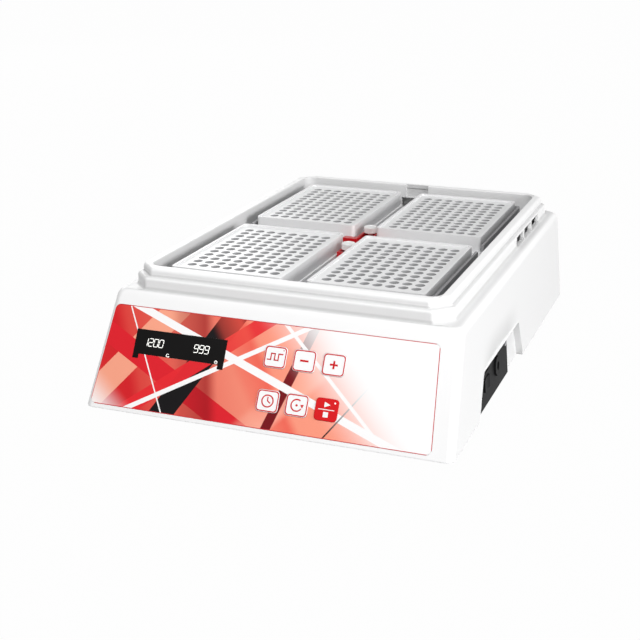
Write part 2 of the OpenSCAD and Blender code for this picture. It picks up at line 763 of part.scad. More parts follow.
module belt() {
    color("black") translate([0, 0, pulley_z + 1.2]) linear_extrude(pulley_h - 2.4) difference() {
        belt_outline(1.5);
        belt_outline(0.3);
    }
}

// Crank shaft with its web and the offset pin that carries the platform
module crank_shaft() {
    color("silver") translate([mid[0], mid[1], 0]) {
        translate([0, 0, pulley_z - 5]) cylinder(d = shaft_d, h = web_z - pulley_z + 6);
        translate([0, 0, web_z]) cylinder(d = 30, h = web_h);
        translate([pin[0], pin[1], web_z + 3])
            cylinder(d = shaft_d, h = table_bearing_z + bearing_h + 0.3 - web_z - 3);
        translate([pin[0], pin[1], web_z + 3]) cylinder(d = shaft_d + 3, h = web_h - 3 + collar_h);
    }
}

module crank_pulley() {
    color("silver") translate([mid[0], mid[1], pulley_z]) difference() {
        union() {
            pulley(crank_teeth, shaft_d, crank_pr, pulley_h);
            translate([0, 0, -5]) tube(hub_d, shaft_d, 6);
        }
        // lightening holes between the hub and the toothed rim
        hole_d = crank_pr - 2.2 - hub_d / 2 - 2 * spoke;
        for (a = [0:60:300]) rotate(a) translate([(hub_d + hole_d) / 2 + spoke, 0, -1])
            cylinder(d = hole_d, h = pulley_h + 2);
        translate([0, 0, -2.5]) rotate([0, 90, 0]) cylinder(d = 3, h = hub_d / 2 + 2);
    }
}

// Weight clamped round the web, heavy on the side opposite the pin
module counterweight() {
    color("gray") translate([mid[0], mid[1], web_z]) difference() {
        union() {
            cylinder(d = 38, h = web_h);
            intersection() {
                cylinder(r = 42, h = 6.2);
                translate([2, -50, 0]) cube([60, 100, 8]);
            }
        }
        translate([0, 0, -1]) cylinder(d = 30, h = 10);
        translate([pin[0], pin[1], web_h]) cylinder(r = bearing_d / 2 + 4 + orbit_r + 3, h = 8);
        for (a = [-40, 0, 40]) translate([33 * cos(a), 33 * sin(a), -1]) cylinder(d = 5, h = 10);
    }
}

// Tray of the platform: plate with lips, ribs and bearing bosses beneath
module platform() {
    under = table_z - table_t;
    rib_z = under - 6.65;
    rib_h = under - rib_z + 0.5;
    boss_z = web_z + web_h + 2.1;
    idler_boss_z = idler_web_z + idler_web_h + 2.3;
    color("lightgray") translate([table_x, table_y, 0]) difference() {
        union() {
            translate([0, 0, under]) linear_extrude(table_t) slab(table_w, table_d, 3);
            translate([0, 0, under]) linear_extrude(table_t + lip_h) difference() {
                slab(table_w, table_d, 3);
                slab(table_w - 2 * lip_t, table_d - 2 * lip_t, 1);
                square([table_w + 10, gap_y - 3], center = true);
                square([gap_x + 14, table_d + 10], center = true);
            }
            translate([0, 0, boss_z]) cylinder(d = bearing_d + 8, h = under - boss_z + 0.5);
            for (i = [0:3]) translate([corner(i)[0] * idler_xy[0], corner(i)[1] * idler_xy[1], idler_boss_z])
                cylinder(d = idler_d + 10, h = under - idler_boss_z + 0.5);
            for (s = [-1, 1]) {
                translate([s * idler_xy[0] - 1.2, -idler_xy[1], rib_z]) cube([2.4, 2 * idler_xy[1], rib_h]);
                translate([-idler_xy[0], s * idler_xy[1] - 1.2, rib_z]) cube([2 * idler_xy[0], 2.4, rib_h]);
                translate([0, s * knob_y, rib_z + 2]) cylinder(d = 11, h = rib_h - 2);
            }
            translate([-1.2, -idler_xy[1], rib_z]) cube([2.4, 2 * idler_xy[1], rib_h]);
            translate([-idler_xy[0], -1.2, rib_z]) cube([2 * idler_xy[0], 2.4, rib_h]);
        }
        translate([0, 0, boss_z - 1]) cylinder(d = bearing_d, h = table_bearing_z + bearing_h - boss_z + 1);
        translate([0, 0, boss_z - 1])
            cylinder(d = shaft_d + 4, h = table_bearing_z + bearing_h - boss_z + 2.4);
        for (i = [0:3]) translate([corner(i)[0] * idler_xy[0], corner(i)[1] * idler_xy[1], idler_boss_z - 1])
            cylinder(d = idler_d + 2 * run_c, h = idler_top - idler_boss_z + 1.5);
        for (s = [-1, 1]) translate([0, s * knob_y, rib_z - 1]) cylinder(d = stud_d + 2 * run_c, h = 30);
    }
}

module table_bearing() {
    color("gray") translate([table_x, table_y, table_bearing_z]) ball_bearing();
}

// Outer crank i: lower pin in its hub, web, and offset pin in the platform
module idler(i) {
    color("silver")
        translate([corner(i)[0] * idler_xy[0], well_y + corner(i)[1] * idler_xy[1], 0]) {
            translate([0, 0, deck_z - 6.5]) cylinder(d = idler_d, h = idler_web_z - deck_z + 7.5);
            translate([0, 0, idler_web_z]) cylinder(d = idler_d + 12, h = idler_web_h);
            translate([pin[0], pin[1], idler_web_z + 1]) cylinder(d = idler_d, h = idler_top - idler_web_z - 1);
        }
}

// Microplate i: stepped skirt, deck with 96 wells, hollow beneath
module microplate(i) {
    at = [table_x + corner(i)[0] * plate_dx, table_y + corner(i)[1] * plate_dy, table_z];
    color("whitesmoke") translate(at) {
        difference() {
            union() {
                linear_extrude(2.6) slab(plate_w, plate_l, 3);
                linear_extrude(plate_h - 1.4) slab(plate_w - 2.6, plate_l - 2.6, 2.6);
                translate([0, 0, plate_h - 1.5]) linear_extrude(1.5) difference() {
                    slab(plate_w - 2.6, plate_l - 2.6, 2.6);
                    slab(plate_w - 6, plate_l - 6, 2);
                }
            }
            difference() {
                translate([0, 0, -1]) linear_extrude(plate_h - 2.6 + 1)
                    slab(plate_w - 5, plate_l - 5, 1.6);
                for (c = [0:7], r = [0:11])
                    translate([(c - 3.5) * well_pitch, (r - 5.5) * well_pitch, plate_h - well_depth - 2.4])
                        cylinder(d = 8.2, h = well_depth + 2, $fn = 24);
            }
            for (c = [0:7], r = [0:11])
                translate([(c - 3.5) * well_pitch, (r - 5.5) * well_pitch, plate_h - 1.4 - well_depth])
                    cylinder(d = well_d_top, h = well_depth + 2, $fn = 24);
        }
    }
}

// Red clamp: a slotted foot between two rails, with a wing for each plate corner
module clamp(s) {
    z0 = table_z + 0.1;
    h = clamp_z - z0;
    l = clamp_y1 - clamp_y0;
    color("red") translate([table_x, table_y, 0]) mirror([0, s < 0 ? 1 : 0, 0]) difference() {
        union() {
            translate([-rail_x, clamp_y0, z0]) cube([2 * rail_x, l, rail_t]);
            translate([-rail_x, clamp_y1 - rail_t, z0]) cube([2 * rail_x, rail_t, h]);
            for (m = [0, 1]) mirror([m, 0, 0]) {
                translate([rail_x - rail_t, clamp_y0, z0]) cube([rail_t, l, h]);
                translate([rail_x - 1, clamp_y0, z0]) cube([10.7, gap_y / 2 - 0.2 - clamp_y0, h]);
            }
        }
        // slot for the knob's stud, long enough for the clamp to draw back
        translate([0, 0, 60]) linear_extrude(40) {
            translate([-stud_d / 2 - 0.2, knob_y - 0.4]) square([stud_d + 0.4, clamp_travel + 0.4]);
            for (y = [-0.4, clamp_travel]) translate([0, knob_y + y]) circle(stud_d / 2 + 0.2);
        }
    }
}

module knob(s) {
    color("silver") translate([table_x, table_y + s * knob_y, 0]) {
        difference() {
            translate([0, 0, knob_z - 3.2]) cylinder(d = knob_d, h = 3.2);
            for (a = [0:15:345]) rotate(a) translate([knob_d / 2 + 0.25, 0, knob_z - 4])
                cylinder(d = 0.9, h = 5, $fn = 16);
        }
        translate([0, 0, table_z + 0.2 + rail_t]) cylinder(d = stud_d + 2, h = knob_h - 4);
        translate([0, 0, table_z + 0.2 + rail_t]) cylinder(d = 2 * (rail_x - rail_t) - 0.8, h = 0.8);
        translate([0, 0, table_z - table_t - 3]) cylinder(d = stud_d, h = 9);
    }
}

// Key i: cap, stem and the round plunger in its switch
module key(i) {
    color("white") on_front(key_x + (i % 3) * key_pitch, i < 3 ? key_row_2 : key_row_1, 0) {
        translate([0, 0, -label_t - 0.6]) linear_extrude(label_t + 1.0) slab(key_w, key_h, 2.4);
        translate([0, 0, 5.4 - board_depth]) linear_extrude(board_depth - 5.4) slab(stem_w, stem_w, 0.8);
        translate([0, 0, 1.8 - board_depth]) cylinder(d = plunger_d, h = 5);
    }
}

module driver_board() {
    color("darkgreen") translate([driver_at[0], driver_at[1], pan_z + driver_gap]) difference() {
        union() {
            cube([driver_size[0], driver_size[1], board_t]);
            for (y = [16, 32]) translate([13, y, 1.5]) cylinder(d = 10, h = 16);
            translate([26, 12, 1.5]) cube([18, 24, 12]);
            translate([26, 46, 1.5]) cube([14, 14, 2]);
            for (y = [46, 52, 58, 64]) translate([6, y, 1.5]) cube([12, 3, 9]);
        }
        for (h = driver_holes) translate([h[0], h[1], -2]) cylinder(d = 3.2, h = 10);
    }
}

module driver_spacers() {
    color("silver") for (h = driver_holes)
        translate([driver_at[0] + h[0], driver_at[1] + h[1], base_z]) {
            translate([0, 0, pan_t]) cylinder(d = 6, h = driver_gap);
            cylinder(d = 3, h = pan_t + driver_gap + board_t + 0.4);
            translate([0, 0, pan_t + driver_gap + board_t]) cylinder(d = 5.6, h = 1.8);
            translate([0, 0, -1.2]) cylinder(d = 5.6, h = 1.2);
        }
}

shell();
base_pan();
feet();
shell_screws();
label();
display_window();
display_module();
control_board();
key_switches();
board_spacers();
inlet_panel();
panel_screws();
power_socket();
socket_nut();
rocker_frame();
rocker();
deck();
deck_posts();
deck_screws();
bearing_housing();
main_bearings();
idler_hubs();
motor();
motor_screws();
motor_pulley();
belt();
crank_shaft();
crank_pulley();
counterweight();
platform();
table_bearing();
driver_board();
driver_spacers();
for (i = [0:3]) {
    idler(i);
    microplate(i);
}
for (i = [0:1]) {
    clamp(2 * i - 1);
    knob(2 * i - 1);
}
for (i = [0:5]) key(i);
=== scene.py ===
"""Looks of a four-place orbital microplate shaker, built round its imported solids."""

import logging
import math
from dataclasses import dataclass, field
from enum import Enum
from typing import Iterable, Optional, Sequence, Union

import bmesh
import bpy
from mathutils import Matrix, Vector


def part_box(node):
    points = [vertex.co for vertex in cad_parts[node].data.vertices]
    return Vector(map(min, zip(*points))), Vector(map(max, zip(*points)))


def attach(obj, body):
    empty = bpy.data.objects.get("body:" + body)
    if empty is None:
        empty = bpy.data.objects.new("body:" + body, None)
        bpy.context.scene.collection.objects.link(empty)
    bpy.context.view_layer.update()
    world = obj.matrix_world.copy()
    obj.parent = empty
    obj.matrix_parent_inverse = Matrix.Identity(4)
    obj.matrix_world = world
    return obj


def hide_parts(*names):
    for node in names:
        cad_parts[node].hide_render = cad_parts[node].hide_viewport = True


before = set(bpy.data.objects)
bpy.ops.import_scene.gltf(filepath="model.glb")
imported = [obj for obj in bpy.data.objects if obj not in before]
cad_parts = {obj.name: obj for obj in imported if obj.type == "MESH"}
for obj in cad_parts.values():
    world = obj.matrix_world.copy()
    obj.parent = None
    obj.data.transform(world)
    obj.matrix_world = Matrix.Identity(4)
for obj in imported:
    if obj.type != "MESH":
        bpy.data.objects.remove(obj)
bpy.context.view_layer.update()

LOG = logging.getLogger("shaker")
MM = 0.001
Colour = tuple[float, float, float]
Point = tuple[float, float]
Number = Union[int, float]


@dataclass(frozen=True)
class Sizes:
    """Driving sizes of the shaker, in millimetres and degrees."""

    body_w: float = 258.4
    body_d: float = 370.0
    foot_h: float = 4.0
    shoulder_z: float = 78.0
    side_draft: float = 5.08
    front_lean: float = 28.75
    back_lean: float = 2.5
    wall: float = 3.2
    corner_r: float = 5.0
    well_w: float = 206.8
    well_d: float = 300.0
    well_r: float = 9.0
    well_y: float = 17.0
    rim_z: float = 93.0
    rim_w: float = 221.0
    step_w: float = 227.0
    step_z: float = 86.9
    rim_cut: float = 12.0
    skirt_t: float = 2.5
    skirt_z: float = 56.0
    label_s: float = 3.4
    label_h: float = 69.6
    label_t: float = 0.5
    label_x0: float = -125.9
    label_x1: float = 114.6
    label_in_left: float = 5.6
    label_in_right: float = 5.2
    display_x: float = -67.2
    display_s: float = 49.3
    window_w: float = 62.0
    window_h: float = 15.0
    key_x: float = 1.9
    key_w: float = 15.2
    key_h: float = 14.2
    key_r: float = 2.6
    key_gap: float = 0.3
    stem_w: float = 8.0
    key_pitch: float = 20.3
    key_row_1: float = 22.0
    key_row_2: float = 51.0
    arch_foot: Point = (-122.4, 22.1)
    arch_top: Point = (-99.6, 9.6)
    arch_t: float = 29.3
    arch_d: float = 5.0
    panel_y1: float = -18.8
    panel_t: float = 32.1
    scoop_y: float = -47.0
    scoop_d: float = 1.8
    scoop_h: float = 22.0
    scoop_l: float = 60.0
    pad_t: float = 3.2
    vent_y: float = 51.4
    vent_l: float = 25.4
    vent_pitch: float = 28.2
    vent_z: float = 78.3
    vent_h: float = 7.4
    vent_d: float = 4.5
    catch_w: float = 20.0
    catch_d: float = 2.0
    notch_d: float = 1.2
    slot_w: float = 28.0
    slot_d: float = 4.0

    @property
    def rim_d(self) -> float:
        """Depth of the upper step of the rim."""
        return self.well_d + self.rim_w - self.well_w

    @property
    def step_d(self) -> float:
        """Depth of the lower step of the rim."""
        return self.well_d + self.step_w - self.well_w

    @property
    def well_back(self) -> float:
        """Y of the well's back wall."""
        return self.well_y + self.well_d / 2

    def half_w(self, z: float) -> float:
        """Half the housing's width at a height."""
        return self.body_w / 2 - (z - self.foot_h) * math.tan(math.radians(self.side_draft))

    def face_y(self, z: float) -> float:
        """Y of the sloping front at a height."""
        return -self.body_d / 2 + (z - self.foot_h) * math.tan(math.radians(self.front_lean))

    def back_y(self, z: float) -> float:
        """Y of the back wall at a height."""
        return self.body_d / 2 - (z - self.foot_h) * math.tan(math.radians(self.back_lean))

    def key_at(self, number: int) -> Matrix:
        """Frame on the front of a key from 1 to 6, upper row first."""
        row = self.key_row_2 if number < 4 else self.key_row_1
        return self.front(self.key_x + (number - 1) % 3 * self.key_pitch, row)

    def front(self, x: float = 0, s: float = 0, out: float = 0) -> Matrix:
        """Frame on the sloping front.

        Args:
            x: Distance to the right.
            s: Distance up the slope from its foot.
            out: Distance out of the face.

        Returns:
            Matrix in metres whose X runs right, Y up the slope and Z outwards.
        """
        lean = math.radians(90 - self.front_lean)
        foot = Matrix.Translation((0, -self.body_d / 2 * MM, self.foot_h * MM))
        return foot @ Matrix.Rotation(lean, 4, "X") @ Matrix.Translation((x * MM, s * MM, out * MM))

    def side(self, y: float = 0, t: float = 0, out: float = 0) -> Matrix:
        """Frame on the right side.

        Args:
            y: Distance to the back.
            t: Distance up the side from its foot.
            out: Distance out of the side.

        Returns:
            Matrix in metres whose X runs back, Y up the side and Z outwards.
        """
        foot = Matrix.Translation((self.body_w / 2 * MM, 0, self.foot_h * MM))
        tilt = Matrix.Rotation(-math.radians(self.side_draft), 4, "Y")
        turn = Matrix.Rotation(math.pi / 2, 4, "Z") @ Matrix.Rotation(math.pi / 2, 4, "X")
        return foot @ tilt @ turn @ Matrix.Translation((y * MM, t * MM, out * MM))


SIZE = Sizes()


class Signal:
    """A shader socket whose arithmetic adds Math nodes."""

    def __init__(self, graph: "Graph", socket: bpy.types.NodeSocket) -> None:
        """Wraps a socket of a graph."""
        self.graph = graph
        self.socket = socket

    def __add__(self, other: "Value") -> "Signal":
        """Sum."""
        return self.graph.math("ADD", self, other)

    __radd__ = __add__

    def __sub__(self, other: "Value") -> "Signal":
        """Difference."""
        return self.graph.math("SUBTRACT", self, other)

    def __rsub__(self, other: "Value") -> "Signal":
        """Difference with the socket on the right."""
        return self.graph.math("SUBTRACT", other, self)

    def __mul__(self, other: "Value") -> "Signal":
        """Product."""
        return self.graph.math("MULTIPLY", self, other)

    __rmul__ = __mul__

    def __truediv__(self, other: "Value") -> "Signal":
        """Quotient."""
        return self.graph.math("DIVIDE", self, other)

    def __abs__(self) -> "Signal":
        """Absolute value."""
        return self.graph.math("ABSOLUTE", self)

    def least(self, other: "Value") -> "Signal":
        """The smaller of the two."""
        return self.graph.math("MINIMUM", self, other)

    def most(self, other: "Value") -> "Signal":
        """The larger of the two."""
        return self.graph.math("MAXIMUM", self, other)

    def ramp(self, low: float, high: float) -> "Signal":
        """Smooth step from 0 at low to 1 at high."""
        settings = {"interpolation_type": "SMOOTHSTEP"}
        inputs = {"Value": self, "From Min": low, "From Max": high, "To Min": 0.0, "To Max": 1.0}
        return self.graph.node("ShaderNodeMapRange", settings, inputs, "Result")


Value = Union[Signal, Number]


class Graph:
    """A material's nodes, with one Principled shader."""

    def __init__(self, name: str) -> None:
        """Makes an empty material of that name."""
        self.material = bpy.data.materials.new(name)
        self.material.use_nodes = True
        self.tree = self.material.node_tree
        self.tree.nodes.clear()
        self.out = self.tree.nodes.new("ShaderNodeOutputMaterial")
        self.shader = self.tree.nodes.new("ShaderNodeBsdfPrincipled")
        self.tree.links.new(self.shader.outputs["BSDF"], self.out.inputs["Surface"])
        self._place: Optional[Signal] = None

    def feed(self, socket: bpy.types.NodeSocket, value: object) -> None:
        """Links a signal to a socket, or sets a constant on it."""
        if isinstance(value, Signal):
            self.tree.links.new(value.socket, socket)
        elif isinstance(value, (tuple, list)) and socket.type == "RGBA":
            socket.default_value = (*value[:3], 1.0)
        else:
            socket.default_value = value

    def node(
        self,
        kind: str,
        settings: Optional[dict[str, object]] = None,
        inputs: Optional[dict[Union[int, str], object]] = None,
        output: Union[int, str] = 0,
    ) -> Signal:
        """Adds a node.

        Args:
            kind: Type of the node.
            settings: Its properties, which are set first.
            inputs: Values or signals for its sockets, by name or number.
            output: Name or number of the output that is returned.

        Returns:
            The named output.
        """
        made = self.tree.nodes.new(kind)
        for key, value in (settings or {}).items():
            setattr(made, key, value)
        for key, value in (inputs or {}).items():
            self.feed(made.inputs[key], value)
        return Signal(self, made.outputs[output])

    def math(self, operation: str, *values: Value) -> Signal:
        """A Math node on one or more values."""
        return self.node("ShaderNodeMath", {"operation": operation}, dict(enumerate(values)))

    def mix(self, factor: Value, a: object, b: object) -> Signal:
        """Blends two colours, from a at 0 to b at 1."""
        settings = {"data_type": "RGBA", "clamp_factor": True}
        return self.node("ShaderNodeMix", settings, {0: factor, 6: a, 7: b}, 2)

    @property
    def place(self) -> Signal:
        """Position on the piece at rest, in metres."""
        if self._place is None:
            self._place = self.node("ShaderNodeTexCoord", output="Object")
        return self._place

    def axes(self) -> tuple[Signal, Signal, Signal]:
        """X, Y and Z of the position, in millimetres."""
        split = self.tree.nodes.new("ShaderNodeSeparateXYZ")
        self.feed(split.inputs[0], self.place)
        return tuple(Signal(self, split.outputs[i]) * (1 / MM) for i in range(3))

    def noise(self, scale: float, detail: float = 2.0, stretch: Colour = (1, 1, 1)) -> Signal:
        """Noise from 0 to 1 with that many features per metre.

        Args:
            scale: Features per metre.
            detail: Octaves.
            stretch: Factors on X, Y and Z of the position.

        Returns:
            The noise's value.
        """
        at = self.place
        if tuple(stretch) != (1, 1, 1):
            at = self.node("ShaderNodeMapping", {}, {"Vector": at, "Scale": stretch})
        inputs = {"Vector": at, "Scale": scale, "Detail": detail}
        return self.node("ShaderNodeTexNoise", {}, inputs, "Fac")

    def bump(self, height: Signal, depth: float, strength: float = 1.0) -> None:
        """Sends a height through a Bump node to the shader's normal."""
        inputs = {"Height": height, "Distance": depth, "Strength": strength}
        self.feed(self.shader.inputs["Normal"], self.node("ShaderNodeBump", {}, inputs))


@dataclass(frozen=True)
class Finish:
    """A surface with a fine grain and a faint unevenness of colour and gloss."""

    name: str
    colour: Colour
    roughness: float = 0.45
    metallic: float = 0.0
    coat: float = 0.0
    specular: float = 0.5
    grain: float = 1800.0
    grain_depth: float = 0.00002
    mottle: float = 0.03
    stretch: Colour = (1, 1, 1)
    mottle_scale: float = 28.0
    gloss_range: float = 0.12
    coat_roughness: float = 0.12

    def material(self) -> bpy.types.Material:
        """The material, made once for each name."""
        known = bpy.data.materials.get(self.title)
        return known if known else self.build()

    @property
    def title(self) -> str:
        """Name of the material, apart from those that come with the frame."""
        return "look_" + self.name

    def build(self) -> bpy.types.Material:
        """Makes the material."""
        graph = Graph(self.title)
        shader = graph.shader
        shader.inputs["Metallic"].default_value = self.metallic
        shader.inputs["Coat Weight"].default_value = self.coat
        shader.inputs["Specular IOR Level"].default_value = self.specular
        shader.inputs["Coat Roughness"].default_value = self.coat_roughness
        uneven = graph.noise(self.mottle_scale, 3.0)
        graph.feed(shader.inputs["Base Color"], self.paint(graph, uneven))
        gloss = self.roughness + (uneven - 0.5) * self.gloss_range
        graph.feed(shader.inputs["Roughness"], gloss)
        self.relief(graph)
        return graph.material

    def paint(self, graph: Graph, uneven: Signal) -> Signal:
        """The base colour, a little darker where the noise is low."""
        dark = tuple(c * (1 - 2 * self.mottle) for c in self.colour)
        return graph.mix(uneven, dark, self.colour)

    def relief(self, graph: Graph) -> None:
        """Adds the grain as a bump."""
        graph.bump(graph.noise(self.grain, 2.0, self.stretch), self.grain_depth, 0.5)


@dataclass(frozen=True)
class Turned(Finish):
    """Bright metal with fine lathe rings along an upright axis."""

    metallic: float = 1.0
    roughness: float = 0.3
    grain: float = 900.0
    grain_depth: float = 0.00003
    stretch: Colour = (0.05, 0.05, 4.0)


@dataclass(frozen=True)
class Board(Finish):
    """Green circuit board with copper tracks under its mask."""

    def paint(self, graph: Graph, uneven: Signal) -> Signal:
        """Solder mask with lighter tracks and pale pads."""
        x, y, _ = graph.axes()
        lines = abs(graph.math("SINE", (x + y * 0.5) * 2.1)).ramp(0.92, 0.97)
        pads = graph.noise(420.0, 0.0).ramp(0.68, 0.72)
        base = graph.mix(lines, self.colour, tuple(min(1.0, 1.8 * c) for c in self.colour))
        return graph.mix(pads, base, (0.75, 0.72, 0.6))


@dataclass(frozen=True)
class Moulded(Finish):
    """Moulded microplate with a painted shade in its wells, which makes them greyer than its deck.

    The field of wells lies about each plate's middle, measured from the platform's middle.
    """

    middle: Point = (50.34, 74.58)
    field: Point = (36.6, 54.6)
    edge: float = 0.2
    deck: Point = (1.45, 1.9)
    # Painted shade: the colour given to the inside of the wells in place of the shade that falls
    # there.
    inside: Colour = (0.40, 0.40, 0.41)

    def paint(self, graph: Graph, uneven: Signal) -> Signal:
        """Plain on the outside and greyer in the wells, where the grey is a painted shade."""
        x, y, z = graph.axes()
        low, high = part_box("platform")
        beside = []
        for k, axis in enumerate((x, y)):
            away = abs(abs(axis - (low[k] + high[k]) / 2 / MM) - self.middle[k])
            beside.append(away.ramp(self.field[k], self.field[k] + self.edge))
        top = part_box("plate_front_left")[1][2] / MM
        deep = (top - z).ramp(*self.deck)
        outside = 1 - (1 - beside[0]) * (1 - beside[1]) * deep
        # Painted shade in the wells: below the deck they take the darker inside colour.
        return graph.mix(outside, self.inside, super().paint(graph, uneven))


@dataclass(frozen=True)
class Housing(Finish):
    """White moulding, greyer where little light reaches it.

    Each shade is the share that is taken off the colour.
    """

    hold_shade: float = 0.20
    well_shade: float = 0.20
    ring_shade: float = 0.30
    catch_shade: float = 0.38

    def darker(self, shade: float) -> Colour:
        """The colour with that share taken off."""
        return tuple(c * (1 - shade) for c in self.colour)

    @staticmethod
    def hand_hold(x: Signal, y: Signal, z: Signal) -> Signal:
        """1 at the lower edge of the hand hold on the right, fading upwards and sideways."""
        rise = 1 / math.cos(math.radians(SIZE.side_draft))
        height = (z - SIZE.foot_h) * rise - SIZE.arch_t
        across = 1 - abs((y - SIZE.scoop_y) * (1 / SIZE.scoop_l)).ramp(0.35, 1.0)
        up = (1 - height.ramp(0.0, SIZE.scoop_h)) * height.ramp(0.3, 1.1)
        return across * up * x.ramp(SIZE.step_w / 2, SIZE.step_w / 2 + 1)

    @staticmethod
    def outside_well(x: Signal, y: Signal) -> Signal:
        """0 on the well's walls and 1 beyond them."""
        aside = abs(x).ramp(SIZE.well_w / 2 + 0.1, SIZE.well_w / 2 + 0.9)
        beyond = abs(y - SIZE.well_y).ramp(SIZE.well_d / 2 + 0.1, SIZE.well_d / 2 + 0.9)
        return aside.most(beyond)

    @staticmethod
    def ring_feet(z: Signal) -> Signal:
        """1 along the foot of each of the two rings."""
        upper = 1 - abs(z - (SIZE.step_z + 0.5)).ramp(0.2, 1.5)
        lower = 1 - abs(z - (SIZE.shoulder_z + 0.8)).ramp(0.2, 2.2)
        return upper.most(lower)

    @staticmethod
    def catch(x: Signal, y: Signal) -> Signal:
        """1 in the catch recess at the back."""
        middle = 1 - abs(x).ramp(SIZE.catch_w / 2 - 0.1, SIZE.catch_w / 2 + 0.1)
        near = y.ramp(SIZE.well_back + 0.5, SIZE.well_back + 1.0)
        far = y.ramp(SIZE.well_back + 2.1, SIZE.well_back + 2.3)
        return middle * near * (1 - far)

    def paint(self, graph: Graph, uneven: Signal) -> Signal:
        """Shades the hand hold, the well, the feet of the rings and the catch recess."""
        x, y, z = graph.axes()
        outside = self.outside_well(x, y)
        colour = super().paint(graph, uneven)
        colour = graph.mix(self.hand_hold(x, y, z), colour, self.darker(self.hold_shade))
        colour = graph.mix(1 - outside, colour, self.darker(self.well_shade))
        colour = graph.mix(outside * self.ring_feet(z), colour, self.darker(self.ring_shade))
        return graph.mix(self.catch(x, y), colour, self.darker(self.catch_shade))


@dataclass(frozen=True)
class Band:
    """A straight ribbon across the printed label."""

    angle: float
    offset: float
    half_width: float
    colour: Colour
    strength: float = 1.0
    soft: float = 0.15


@dataclass(frozen=True)
class Artwork(Finish):
    """Printed label: crossing ribbons that fade to plain white, with a fine red edge."""

    bands: tuple[Band, ...] = ()
    edge: Colour = (0.62, 0.02, 0.03)
    ground: tuple[Colour, Colour] = ((0.66, 0.030, 0.028), (0.90, 0.30, 0.20))
    warm: Point = (-110, 40)
    fade_right: Point = (48, 108)
    fade_corner: Point = (-102, -68)

    def paint(self, graph: Graph, uneven: Signal) -> Signal:
        """Lays the ribbons over a warm ground and fades them out to the right."""
        x, y, z = graph.axes()
        lean = math.radians(SIZE.front_lean)
        s = (y + SIZE.body_d / 2) * math.sin(lean) + (z - SIZE.foot_h) * math.cos(lean)
        ground = graph.mix((x + s * 0.4).ramp(*self.warm), *self.ground)
        for band in self.bands:
            turn = math.radians(band.angle)
            across = x * math.cos(turn) + s * math.sin(turn) - band.offset
            inside = 1 - abs(across).ramp(band.half_width - band.soft, band.half_width + band.soft)
            shade = (across / band.half_width * 0.35 + 0.65) if band.soft > 1 else 1.0
            ground = graph.mix(inside * band.strength * shade, ground, band.colour)
        fade = (x + s * 0.9).ramp(*self.fade_right)
        corner = 1 - (x * 0.8 + s).ramp(*self.fade_corner)
        ground = graph.mix(fade.most(corner), ground, self.colour)
        left = SIZE.label_x0 + (s - SIZE.label_s) * SIZE.label_in_left / SIZE.label_h
        right = SIZE.label_x1 - (s - SIZE.label_s) * SIZE.label_in_right / SIZE.label_h
        to_edge = (x - left).least(right - x).least(s - SIZE.label_s)
        to_edge = to_edge.least(SIZE.label_s + SIZE.label_h - s)
        return graph.mix(1 - to_edge.ramp(0.3, 0.5), ground, self.edge)


@dataclass(frozen=True)
class Glow(Finish):
    """Lit segments and lamps."""

    strength: float = 1.0

    def build(self) -> bpy.types.Material:
        """Makes the material with its own light."""
        graph = Graph(self.title)
        shader = graph.shader
        shader.inputs["Roughness"].default_value = self.roughness
        lit = graph.mix(graph.noise(700.0), tuple(0.93 * c for c in self.colour), self.colour)
        graph.feed(shader.inputs["Base Color"], lit)
        graph.feed(shader.inputs["Emission Color"], lit)
        shader.inputs["Emission Strength"].default_value = self.strength
        return graph.material


WHITE_SHELL = Housing("white_shell", (0.87, 0.87, 0.872), 0.45, specular=0.35, grain=2600.0,
                     grain_depth=0.000012, mottle=0.008)
WHITE_PLATE = Moulded("white_plate", (0.755, 0.755, 0.76), 0.4, grain=900.0,
                      grain_depth=0.00001, mottle=0.01)
WHITE_KEY = Finish("white_key", (0.90, 0.90, 0.90), 0.45, specular=0.3, grain=3000.0, mottle=0.01)
RED_KEY = Finish("red_key", (0.66, 0.004, 0.008), 0.5, specular=0.2, grain=3000.0, mottle=0.02)
RED_PRINT = Finish("red_print", (0.58, 0.004, 0.010), 0.5, specular=0.2, grain=3000.0, mottle=0.02)
WHITE_PRINT = Finish("white_print", (0.88, 0.88, 0.88), 0.5, specular=0.3, grain=3000.0, mottle=0.01)
DISPLAY_BLACK = Finish("display_black", (0.005, 0.0045, 0.0045), 0.3, specular=0.25, grain=600.0,
                       grain_depth=0.000004, mottle=0.02)
SEGMENT = Glow("segment_light", (0.92, 0.92, 0.88), 0.5, strength=0.7)
LAMP = Glow("lamp_light", (0.95, 0.93, 0.92), 0.5, strength=0.5)
BLACK_MOULDING = Finish("black_moulding", (0.012, 0.012, 0.013), 0.6, specular=0.1, grain=1500.0,
                        grain_depth=0.00005, mottle=0.08)
RUBBER = Finish("rubber", (0.03, 0.03, 0.031), 0.75, grain=1200.0, grain_depth=0.00006, mottle=0.1)
RED_ENAMEL = Finish("red_enamel", (0.50, 0.004, 0.009), 0.3, coat=0.3, grain=500.0,
                    grain_depth=0.00001, mottle=0.03)
SHEET_METAL = Finish("sheet_metal", (0.62, 0.63, 0.65), 0.4, 0.8, grain=700.0, mottle=0.06)
TRAY_METAL = Finish("tray_metal", (0.36, 0.36, 0.37), 0.5, 0.3, grain=1400.0,
                    grain_depth=0.00002, mottle=0.03, stretch=(0.06, 1, 1))
TURNED_STEEL = Turned("turned_steel", (0.66, 0.66, 0.67))
CAST_ALLOY = Finish("cast_alloy", (0.6, 0.6, 0.61), 0.42, 0.9, grain=1500.0, mottle=0.05)
SCREW_STEEL = Turned("screw_steel", (0.5, 0.5, 0.52), 0.36)
KNOB_METAL = Turned("knob_metal", (0.88, 0.88, 0.87), 0.42, 0.25)
WEIGHT_IRON = Finish("weight_iron", (0.2, 0.2, 0.205), 0.6, 0.5, grain=600.0,
                     grain_depth=0.00008, mottle=0.12)
MOTOR_ENAMEL = Finish("motor_enamel", (0.09, 0.09, 0.1), 0.4, grain=900.0, mottle=0.06)
